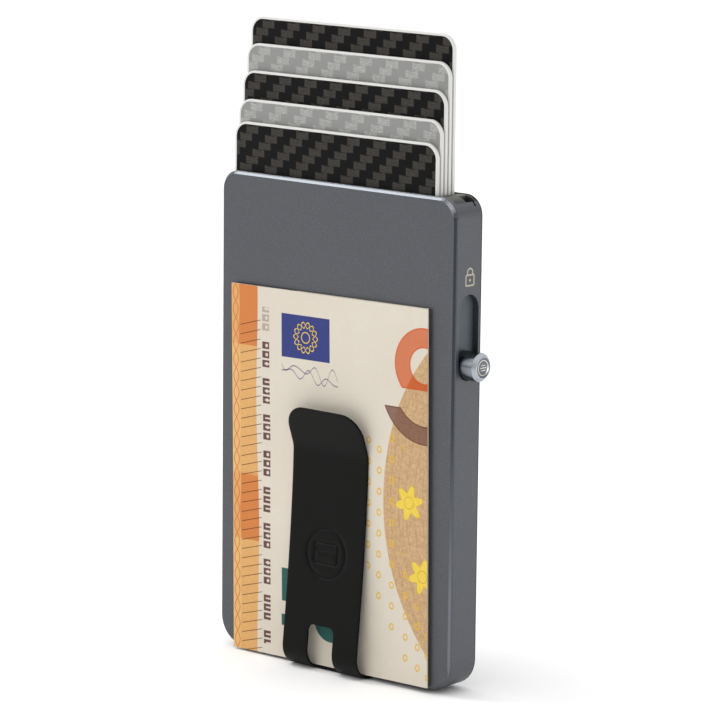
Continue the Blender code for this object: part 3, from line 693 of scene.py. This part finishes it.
def smooth_step(value, low, high):
    share = min(max((value - low) / (high - low), 0.0), 1.0)
    return share * share * (3 - 2 * share)


MARK_HEIGHT = 24.0 * MM
MARK_RADIUS = 5.1 * MM
MARK_CARD = (3.1 * MM, 2.1 * MM, 0.6 * MM)
MARK_STRIPE = 0.75 * MM
GROOVE_DEPTH = 0.2 * MM
GROOVE_STEPS = (-0.34, -0.2, -0.11, 0.0, 0.11, 0.2, 0.34)


def groove_depth(offset):
    """Depth of a pressed line at a distance in millimetres from its middle."""
    return GROOVE_DEPTH * (1 - smooth_step(abs(offset), 0.08, 0.3))


def mark_points():
    """(x, z, depth) round the pressed mark: a ring, and in it a card with its stripe."""
    points = []
    for offset in GROOVE_STEPS:
        depth = groove_depth(offset)
        radius = MARK_RADIUS + offset * MM
        for i in range(120):
            turn = 2 * math.pi * i / 120
            points.append((radius * math.cos(turn), radius * math.sin(turn), depth))
        half_width, half_height, corner = (size + offset * MM for size in MARK_CARD)
        card = resample(rounded_rectangle(half_width, half_height, corner, 6), 0.3 * MM)
        points += [(x, z, depth) for x, z in card]
    inner = MARK_CARD[0] - GROOVE_STEPS[-1] * MM
    steps = 20
    for offset in GROOVE_STEPS[1:-1]:
        for i in range(steps + 1):
            x = -inner + 2 * inner * i / steps
            fade = smooth_step(inner - abs(x), 0.0, 0.3 * MM)
            points.append((x, MARK_STRIPE + offset * MM, groove_depth(offset) * fade))
    return points


def clear_of(points, x, run, margin):
    return all((x - p[0]) ** 2 + (run - p[1]) ** 2 > margin**2 for p in points)


def resample_like(target, near, spacing):
    """Extra points along the target's edges, as many on each as the near outline's edge would take."""
    points = []
    for i in range(len(near)):
        j = (i + 1) % len(near)
        steps = max(1, math.ceil(math.dist(near[i], near[j]) / spacing))
        for k in range(steps):
            share = k / steps
            points.append(tuple(a + (b - a) * share for a, b in zip(target[i], target[j])))
    return points


class FlatClip:
    """The strip before it is bent, in distances across it (x) and along it (run)."""

    def __init__(self, strip):
        self.length = strip.length
        self.half = (Place.blade_high.x - Place.blade_low.x) / 2
        past_bend = strip.length * 0.2
        self.window_top = strip.run_at(CASE_BOTTOM + WINDOW_TOP, past_bend)
        self.mark_run = strip.run_at(CASE_BOTTOM + MARK_HEIGHT, past_bend)
        clear = CASE_FRONT - WINDOW_STAND_OFF
        self.window_low = next(run for run, point in zip(strip.marks, strip.points) if point.x <= clear)

    def outlines(self, inset):
        """The sheet's outer edge and the window's edge, each moved into the metal by an inset."""
        foot, lip = FOOT_CORNER - inset, LIP_CORNER - inset
        right, far = self.half - inset, self.length - inset
        outer = box_outline(-self.half + inset, right, inset, far, (foot, lip, lip, foot), 16)
        low, top = WINDOW_LOW_CORNER + inset, WINDOW_CORNER + inset
        across = WINDOW_HALF + inset
        run_low, run_top = self.window_low - inset, self.window_top + inset
        return outer, box_outline(-across, across, run_low, run_top, (low, top, top, low), 8)

    def window_gap(self, point, inset):
        """Signed distance from a point to the window's outline; negative inside."""
        corner = WINDOW_CORNER + inset
        half_run = (self.window_top - self.window_low) / 2 + inset
        middle = (self.window_top + self.window_low) / 2
        across = abs(point.x) - (WINDOW_HALF + inset - corner)
        along = abs(point.y - middle) - (half_run - corner)
        outside_part = math.hypot(max(across, 0.0), max(along, 0.0))
        return outside_part + min(max(across, along), 0.0) - corner

    def interior(self, outer, pressed):
        """The mark's points, then a grid that stays clear of the edges and of the mark."""
        points = [(x, self.mark_run + z) for x, z, _ in pressed]
        margin = CLIP_SPACING * 0.6
        step = 0.45 * CLIP_SPACING
        run = CLIP_SPACING
        while run < self.length:
            x = -self.half + CLIP_SPACING
            beside_window = self.window_low - CLIP_SPACING < run < self.window_top + margin
            while x < self.half:
                in_window = beside_window and abs(x) < WINDOW_HALF + margin
                near_mark = math.hypot(x, run - self.mark_run) < MARK_RADIUS + CLIP_SPACING
                if not in_window and clear_of(outer, x, run, step):
                    if not near_mark or clear_of(pressed, x, run - self.mark_run, step):
                        points.append((x, run))
                x += CLIP_SPACING
            run += CLIP_SPACING
        return points


def add_rim(shape, strip, flat, which, top, bottom):
    """The round edge between the sheet's faces, along its outline (which is 0) or its window (1)."""
    steps = 4
    levels = []
    for step in range(1, steps + 1):
        turn = math.radians(90 * step / steps)
        levels.append((CLIP_EASE * (1 - math.sin(turn)), CLIP_EASE * (1 - math.cos(turn))))
    levels += [(inset, CLIP_SHEET - depth) for inset, depth in reversed(levels)]
    near = flat.outlines(CLIP_EASE)[which]
    rows = [top]
    for inset, depth in levels:
        dense = resample_like(flat.outlines(inset)[which], near, CLIP_SPACING)
        rows.append([shape.verts.new(strip.place(x, run, depth)) for x, run in dense])
    rows.append(bottom)
    for low, high in zip(rows, rows[1:]):
        for i in range(len(top)):
            j = (i + 1) % len(top)
            quad = (low[i], low[j], high[j], high[i])
            if len(set(quad)) == 4:
                shape.faces.new(quad)


def build_clip():
    """The whole clip as one strip of sheet with round edges, a window and a pressed mark."""
    strip = Strip(clip_profile())
    flat = FlatClip(strip)
    outer, window = (resample(loop, CLIP_SPACING) for loop in flat.outlines(CLIP_EASE))
    pressed = mark_points()
    points = [Vector(p) for p in outer + window + flat.interior(outer, pressed)]
    window_start, mark_start = len(outer), len(outer) + len(window)
    edges = [(i, (i + 1) % window_start) for i in range(window_start)]
    edges += [(i, i + 1 if i + 1 < mark_start else window_start) for i in range(window_start, mark_start)]
    verts, _, faces, origins, _, _ = delaunay_2d_cdt(points, edges, [], 1, 1e-7)

    depths = [0.0] * len(verts)
    index_of = {}
    for new, sources in enumerate(origins):
        for source in sources:
            index_of[source] = new
            if mark_start <= source < mark_start + len(pressed):
                depths[new] = max(depths[new], pressed[source - mark_start][2])

    shape = bmesh.new()
    skin = [shape.verts.new(strip.place(v.x, v.y, depth)) for v, depth in zip(verts, depths)]
    under = [shape.verts.new(strip.place(v.x, v.y, CLIP_SHEET)) for v in verts]
    for face in faces:
        middle = sum((verts[i] for i in face), Vector((0, 0))) / len(face)
        if flat.window_gap(middle, CLIP_EASE) >= 0:
            shape.faces.new([skin[i] for i in face])
            shape.faces.new([under[i] for i in reversed(face)])
    for which, start, count in ((0, 0, len(outer)), (1, window_start, len(window))):
        top, bottom = ([side[index_of[start + i]] for i in range(count)] for side in (skin, under))
        add_rim(shape, strip, flat, which, top, bottom)
    bmesh.ops.remove_doubles(shape, verts=shape.verts, dist=1e-7)
    clip = add_object("spring_clip", finish_mesh(shape, "spring_clip", 50.0), clip_material())
    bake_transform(clip)
    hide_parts("clip_foot", "clip_blade")


# Folded note

NOTE_WIDTH = 52.5 * MM
NOTE_HEIGHT = 77.0 * MM
NOTE_TILT_DEG = 0.85
PAPER = 0.1 * MM
PAPER_BACK = -0.08 * MM
LAYER_GAP = 0.17 * MM
LOOSE_GAP = 0.36 * MM
LAYER_STEP = 0.4 * MM
NOTE_LENGTH = 140.0 * MM


class NotePrint:
    """The note's paper and the inks laid on it, in millimetres from its middle."""

    block_pitch = 1.9
    hatch_pitch = 1.97
    sweep_pitch = 2.1
    ring_pitch = (3.1, 4.3)
    panel_centre = (-6.05, 29.2)
    field_centre = (61.7, -1.2)
    field_radius = 47.1

    def __init__(self, surface):
        self.surface = surface
        self.x, _, self.z = surface.page()
        self.fibre = surface.noise(2600.0, 6.0, (1.0, 1.0, 0.6))
        cloud = surface.noise(70.0, 3.0)
        self.paper = surface.mix(cloud * 0.6 + self.fibre * 0.4, srgb(204, 195, 180), srgb(222, 214, 200))
        grain = surface.noise(1300.0, 2.0)
        screen = ((self.x + self.z) * 8.5).sine() * ((self.x - self.z) * 8.5).sine() * 0.5 + 0.5
        self.screen = (screen * 0.6 + grain * 0.8 - 0.1).clamp()
        self.field = self.from_field() - self.field_radius
        self.colour = self.paper

    def from_field(self):
        return length_of(self.x - self.field_centre[0], self.z - self.field_centre[1])

    def lay(self, mask, ink):
        self.colour = self.surface.mix(mask, self.colour, ink)

    def banded_edge(self):
        """A band of two inks on the left, with a looped selvage and slanted hatching."""
        x, z = self.x, self.z
        edge = x + 19.35 + (z * 0.13).sine() * 0.3
        block = ((z - 26.0) / 41.0).fraction() - 0.34
        ink = self.surface.mix(inside(block, 0.02), srgb(224, 178, 112), srgb(208, 124, 60))
        ink = self.surface.mix(self.screen * 0.45, ink, srgb(190, 112, 50))
        self.lay(inside(edge, 0.15) * 0.95, ink)
        selvage = inside(x + 24.2 + (z * 0.5).sine() * 0.15, 0.15)
        loops = inside(abs((z * 0.9).sine() * 0.7 + x + 25.2) - 0.12, 0.1)
        loops = loops.maximum(inside(abs((z * 0.9).sine() * 0.7 - x - 25.2) - 0.12, 0.1))
        self.lay(selvage * 0.5, srgb(226, 190, 128))
        self.lay(selvage * loops * 0.8, srgb(200, 98, 46))
        lines = abs(((z - x * 0.267) / self.hatch_pitch).fraction() - 0.5) * self.hatch_pitch
        hatch = inside(lines - 0.08, 0.1)
        hatch = hatch * inside(abs(x + 21.1) - 2.8, 0.1) * inside(abs(z + 4.2) - 36.0, 0.1)
        self.lay(hatch * 0.85, srgb(60, 36, 28))

    def block_column(self):
        """A column of dark blocks: some solid, some with a hole, some split."""
        x, z = self.x, self.z
        place = (z + 3.0) / self.block_pitch
        chance = ((place.floor() * 12.9898).sine() * 437.585).fraction()
        across = x + 16.9
        up = (place.fraction() - 0.5) * self.block_pitch
        block = (abs(across) - 0.95).maximum(abs(up) - 0.74)
        hole = length_of(across - 0.25, up) - 0.36
        split = (abs(up) - 0.17).maximum(-(across + 0.35))
        block = block.maximum(-(hole + inside(chance - 0.35, 0.01) * 9.0))
        block = block.maximum(-(split + inside(-(chance - 0.7), 0.01) * 9.0))
        spaces = inside(abs((place.floor() / 4.0).fraction() - 0.1) - 0.12, 0.01)
        column = inside(block, 0.12) * (spaces * -1.0 + 1.0) * inside(abs(z + 1.0) - 35.4, 0.1)
        strength = inside(z - 27.5, 0.1) * 0.5 + 0.4
        self.lay(column * strength, srgb(78, 30, 32))

    def rosette_panel(self):
        """A blue panel with a woven rosette."""
        x, z = self.x, self.z
        centre_x, centre_z = self.panel_centre
        panel = rectangle(x, z, centre_x, centre_z, 6.5, 4.5)
        radius = length_of(x - centre_x, z - centre_z)
        petals = ((x - centre_x).angle_from(z - centre_z) * 7.0).sine() * 0.6
        weave = inside(abs(radius - petals - 2.6) - 0.12, 0.12)
        weave = weave.maximum(inside(abs(radius + petals - 2.6) - 0.12, 0.12))
        weave = weave.maximum(inside(abs(radius - 1.1) - 0.1, 0.12))
        ink = self.surface.mix(self.fibre, srgb(20, 36, 104), srgb(36, 54, 132))
        ink = self.surface.mix(weave, ink, srgb(226, 192, 60))
        self.lay(inside(panel, 0.1) * 0.95, ink)

    def pen_waves(self):
        """Two blue pen waves below the panel."""
        x, z = self.x, self.z
        for phase, middle, height in ((0.0, 21.6, 1.7), (1.9, 20.6, 1.1)):
            swing = (x * 1.25 + phase).sine() * ((x * 0.4 + phase).cosine() * 0.5 + 0.7)
            wave = abs(z - middle - swing * height + x * 0.12) - 0.1
            mask = inside(wave, 0.16) * inside(abs(x + 5.0) - 7.6, 0.2)
            self.lay(mask * 0.9, srgb(52, 50, 108))

    def tan_field(self):
        """A tan field on the right, with a darker engraved screen and a few sweeping lines."""
        ink = self.surface.mix(self.screen, srgb(226, 194, 144), srgb(162, 116, 68))
        sweep = abs((self.from_field() / self.sweep_pitch).fraction() - 0.5) * self.sweep_pitch
        ink = self.surface.mix(inside(sweep - 0.1, 0.1) * 0.5, ink, srgb(168, 118, 70))
        self.lay(inside(self.field, 0.2) * 0.88, ink)

    def bow_and_crescent(self):
        """An open ring above a crescent, both over the field's edge."""
        x, z = self.x, self.z
        bow = ring(x, z, 25.4, 27.0, 5.6, 4.0).maximum(-(z - 22.0))
        bow_ink = self.surface.mix(self.screen * 0.4, srgb(206, 114, 72), srgb(184, 90, 52))
        bow_ink = self.surface.mix(inside(self.field, 0.2), bow_ink, srgb(190, 88, 40))
        self.lay(inside(bow, 0.12) * 0.92, bow_ink)
        self.lay(inside(abs(bow + 0.1) - 0.11, 0.08) * 0.7, srgb(196, 78, 36))
        crescent = ring(x, z, 25.6, 22.5, 9.6, 3.8).maximum(z - 18.0)
        crescent_ink = self.surface.mix(self.screen * 0.6, srgb(138, 100, 84), srgb(96, 62, 54))
        self.lay(inside(crescent, 0.12) * 0.92, crescent_ink)
        self.lay(inside(abs(crescent + 0.1) - 0.1, 0.08) * 0.7, srgb(86, 48, 40))

    def blossoms(self):
        """Two yellow blossoms with six petals."""
        x, z = self.x, self.z
        for centre_x, centre_z, size in ((21.5, -1.2, 4.1), (25.0, -15.8, 4.1)):
            radius = length_of(x - centre_x, z - centre_z)
            angle = (x - centre_x).angle_from(z - centre_z)
            blossom = radius - ((angle * 6.0).sine() * 0.2 + 0.72) * size
            ink = self.surface.mix(self.fibre, srgb(220, 184, 56), srgb(240, 216, 96))
            self.lay(inside(blossom, 0.1) * 0.95, ink)
            self.lay(inside(abs(blossom + 0.1) - 0.08, 0.08) * 0.5, srgb(176, 130, 50))
            self.lay(inside(abs(radius - size * 0.3) - 0.1, 0.1) * 0.6, srgb(190, 140, 60))

    def small_rings(self):
        """A scatter of small rings along the field's edge."""
        across, up = self.ring_pitch
        lane = (self.x / across).floor()
        cell_x = ((self.x / across).fraction() - 0.5) * across + (lane * 5.1).sine() * 0.5
        cell_z = ((self.z / up + lane * 0.37).fraction() - 0.5) * up
        spots = abs(length_of(cell_x, cell_z * 0.85) - 0.5) - 0.15
        near_edge = inside(abs(self.field - 1.0) - 5.2, 0.5) * inside(abs(self.z + 13.0) - 25.0, 0.4)
        self.lay(inside(spots, 0.1) * near_edge * 0.9, srgb(218, 176, 52))

    def teal_shapes(self):
        """A teal disc and bars that show beside and through the clip."""
        shape = disc(self.x, self.z, 0.5, -29.0, 4.3)
        shape = shape.minimum(rectangle(self.x, self.z, -11.6, -23.0, 1.2, 3.5))
        shape = shape.minimum(rectangle(self.x, self.z, -11.9, -30.5, 1.0, 1.2))
        teal = self.surface.mix(self.screen * 0.7, srgb(8, 96, 88), srgb(6, 58, 62))
        self.lay(inside(shape, 0.15) * 0.95, teal)


def note_material():
    """Cotton paper with a made-up print on the front of its first layer."""
    surface = Surface("note_print", 0.85)
    surface.shader.inputs["Specular IOR Level"].default_value = 0.12
    note = NotePrint(surface)
    note.banded_edge()
    note.block_column()
    note.rosette_panel()
    note.pen_waves()
    note.tan_field()
    note.bow_and_crescent()
    note.blossoms()
    note.small_rings()
    note.teal_shapes()
    colour = surface.mix(surface.attribute("printed"), note.paper, note.colour)
    surface.bump(note.fibre, 0.35, 0.05 * MM)
    return surface.finish(colour, surface.between(note.fibre, 0.78, 0.92))


def note_puff(x, z):
    """How far the note's layers stand apart, from 0 where the clip pinches them to 1."""
    pinch = CONTACT_Z - (Place.note_low.z + Place.note_high.z) / 2
    across = max(abs(x) - 9.0 * MM, 0.0) / (9.0 * MM)
    up = (z - pinch) / (12.0 * MM)
    return 1 - math.exp(-(across**2) - up**2)


def build_note():
    """Three layers of one folded strip of paper, pinched by the clip and loose at its edges."""
    half = NOTE_WIDTH / 2
    columns, rows, turn_steps = 84, 78, 8
    # Along the folded strip, front layer first: x, level counted from the hindmost layer, share of print
    path = [(half - NOTE_WIDTH * i / columns, 2.0, 1.0) for i in range(columns + 1)]
    turns = [math.pi * i / turn_steps for i in range(1, turn_steps)]
    for turn in turns:
        path.append((-half - 0.5 * math.sin(turn) * LAYER_GAP, 1.5 + 0.5 * math.cos(turn), 0.0))
    for i in range(columns + 1):
        path.append((-half + (NOTE_WIDTH - LAYER_STEP) * i / columns, 1.0, 0.0))
    for turn in turns:
        x = half - LAYER_STEP + 0.5 * math.sin(turn) * LAYER_GAP
        path.append((x, 0.5 + 0.5 * math.cos(turn), 0.0))
    folds = math.pi * LAYER_GAP
    last_layer = NOTE_LENGTH - folds - NOTE_WIDTH - (NOTE_WIDTH - LAYER_STEP)
    for i in range(columns + 1):
        path.append((half - LAYER_STEP - last_layer * i / columns, 0.0, 0.0))

    def centre_line(x, level, z):
        puff = note_puff(x, z)
        gap = LAYER_GAP + (LOOSE_GAP - LAYER_GAP) * puff
        ripple = 0.05 * MM * math.sin(x * 190.0 + z * 70.0) * puff
        return Vector((x, PAPER_BACK - PAPER / 2 - level * gap + ripple * level * 0.5, z))

    shape = bmesh.new()
    printed = shape.verts.layers.float.new("printed")
    sheets = ([], [])
    for j in range(rows + 1):
        z = NOTE_HEIGHT * (j / rows - 0.5)
        line = [centre_line(x, level, z) for x, level, _ in path]
        row_pair = ([], [])
        for i, point in enumerate(line):
            before, after = line[max(i - 1, 0)], line[min(i + 1, len(line) - 1)]
            along = (after - before).normalized()
            side = Vector((along.y, -along.x, 0.0))
            for which, sign in ((0, -1), (1, 1)):
                vert = shape.verts.new(point + side * sign * PAPER / 2)
                vert[printed] = path[i][2] if which == 0 else 0.0
                row_pair[which].append(vert)
        sheets[0].append(row_pair[0])
        sheets[1].append(row_pair[1])
    for j in range(rows):
        for i in range(len(path) - 1):
            for which in (0, 1):
                low, high = sheets[which][j], sheets[which][j + 1]
                shape.faces.new((low[i], low[i + 1], high[i + 1], high[i]))
    for j in range(rows):
        for i in (0, len(path) - 1):
            a, b = sheets[0], sheets[1]
            shape.faces.new((a[j][i], a[j + 1][i], b[j + 1][i], b[j][i]))
    for j in (0, rows):
        for i in range(len(path) - 1):
            a, b = sheets[0][j], sheets[1][j]
            shape.faces.new((a[i], a[i + 1], b[i + 1], b[i]))
    note = add_object("folded_note", finish_mesh(shape, "folded_note", 50.0), note_material())
    middle = (Place.note_low + Place.note_high) / 2
    note.matrix_world = Matrix.Translation((middle.x, CASE_FRONT, middle.z)) @ Matrix.Rotation(
        math.radians(-NOTE_TILT_DEG), 4, "Y"
    )
    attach(note, "note")
    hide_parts("banknote")


# CAD nodes that show as they are

# Widths in millimetres
BEVELS = {
    "front_shell": 0.05,
    "back_cover": 0.05,
    "side_rail": 0.12,
    "slider_plate": 0.08,
    "card_ledge": 0.1,
}


def dress_cad_nodes():
    """Gives every CAD node that still shows its material and slightly eased edges."""
    steel = brushed("steel_finish", srgb(150, 152, 156), srgb(196, 198, 202), 2)
    # The liner gets painted shade below the case's top edge
    liner = plastic("liner_finish", srgb(78, 78, 72), painted_shade_below=Place.shell_high.z)
    arm = plastic("lever_finish", srgb(74, 76, 74), 0.45)
    looks = {
        "front_shell": shell_material(),
        "back_cover": cover_material(),
        "side_rail": liner,
        "card_ledge": liner,
        "slider_plate": plate_material(),
        "ejector_lever": arm,
        "lever_bush": brushed("brass_finish", srgb(176, 142, 80), srgb(214, 182, 118), 1),
        "friction_pad_front": felt_material(),
        "clip_screw_left": clip_material(),
    }
    looks["friction_pad_rear"] = looks["friction_pad_front"]
    looks["clip_screw_right"] = looks["clip_screw_left"]
    for name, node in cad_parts.items():
        if node.hide_render:
            continue
        look = looks.get(name, steel)
        node.data.materials.clear()
        node.data.materials.append(look)
        if name in BEVELS:
            bevel = node.modifiers.new("eased_edges", "BEVEL")
            bevel.width = BEVELS[name] * MM
            bevel.segments = 3
            bevel.limit_method = "ANGLE"
            bevel.angle_limit = math.radians(25)
            bevel.harden_normals = True


# Studio


def aim(thing, target):
    direction = Vector(target) - thing.location
    thing.rotation_mode = "QUATERNION"
    thing.rotation_quaternion = direction.to_track_quat("-Z", "Y")


def add_softbox(name, place, target, size, power):
    data = bpy.data.lights.new(name, "AREA")
    data.shape = "RECTANGLE"
    data.size, data.size_y = size
    data.energy = power
    lamp = bpy.data.objects.new(name, data)
    bpy.context.scene.collection.objects.link(lamp)
    lamp.location = place
    aim(lamp, target)


FLOOR_REACH = 4.0


def add_floor():
    shape = bmesh.new()
    corners = [(x * FLOOR_REACH, y * FLOOR_REACH) for x, y in ((-1, -1), (1, -1), (1, 1), (-1, 1))]
    shape.faces.new([shape.verts.new((x, y, 0.0)) for x, y in corners])
    surface = Surface("floor", 0.9)
    tone = surface.mix(surface.noise(3.0), (0.93, 0.93, 0.93), (0.95, 0.95, 0.95))
    floor = add_object("floor", finish_mesh(shape, "floor"), surface.finish(tone))


CAMERA_PLACE = Vector((0.5012, -0.5783, 0.2070))
CAMERA_YAW_DEG = 40.78
CAMERA_PITCH_DEG = 10.539
CAMERA_ROLL_DEG = 0.616
CAMERA_LENS = 193.2


def add_camera():
    data = bpy.data.cameras.new("camera")
    data.lens = CAMERA_LENS
    data.sensor_width = 36.0
    data.clip_start, data.clip_end = 0.01, 20.0
    camera = bpy.data.objects.new("camera", data)
    bpy.context.scene.collection.objects.link(camera)
    yaw, pitch, roll = (math.radians(a) for a in (CAMERA_YAW_DEG, CAMERA_PITCH_DEG, CAMERA_ROLL_DEG))
    forward = Vector((-math.sin(yaw) * math.cos(pitch), math.cos(yaw) * math.cos(pitch), -math.sin(pitch)))
    level = Vector((math.cos(yaw), math.sin(yaw), 0.0))
    up = level.cross(forward)
    right = level * math.cos(roll) + up * math.sin(roll)
    up = up * math.cos(roll) - level * math.sin(roll)
    turned = Matrix((right, up, -forward)).transposed().to_4x4()
    camera.matrix_world = Matrix.Translation(CAMERA_PLACE) @ turned
    bpy.context.scene.camera = camera


SKY_TOP = 1.2
SKY_FRONT = 0.35
SKY_BEHIND = 1.0


def add_sky():
    """White dome that dims near the horizon, more in front of the object than behind it."""
    world = bpy.data.worlds.new("studio")
    world.use_nodes = True
    tree = world.node_tree
    split = tree.nodes.new("ShaderNodeSeparateXYZ")
    tree.links.new(tree.nodes.new("ShaderNodeTexCoord").outputs["Generated"], split.inputs[0])
    x, y, z = (Field(tree, split.outputs[i]) for i in range(3))
    behind = (y * 0.76 - x * 0.65) * 0.8 + 0.45
    horizon = behind.clamp() * (SKY_BEHIND - SKY_FRONT) + SKY_FRONT
    overhead = ((z - 0.2) / 0.45).clamp()
    strength = horizon + overhead * (horizon * -1.0 + SKY_TOP)
    tree.links.new(strength.socket, tree.nodes["Background"].inputs["Strength"])
    tree.nodes["Background"].inputs["Color"].default_value = (1.0, 1.0, 1.0, 1.0)
    bpy.context.scene.world = world


def build_studio():
    add_floor()
    add_sky()
    middle = (0.0, 0.0, 0.07)
    add_softbox("key", (-0.58, -0.2, 0.72), middle, (0.32, 0.32), 2.6)
    add_softbox("front", (-0.35, -0.9, 0.45), middle, (0.5, 0.5), 0.8)
    add_softbox("low", (0.5, 0.12, 0.03), (0.03, 0.0, 0.01), (0.35, 0.05), 0.4)
    bpy.context.scene.view_settings.view_transform = "Standard"


def main():
    build_studio()
    add_camera()
    for index in range(CARD_COUNT):
        build_card(index)
    build_knob()
    build_clip()
    build_note()
    dress_cad_nodes()


main()
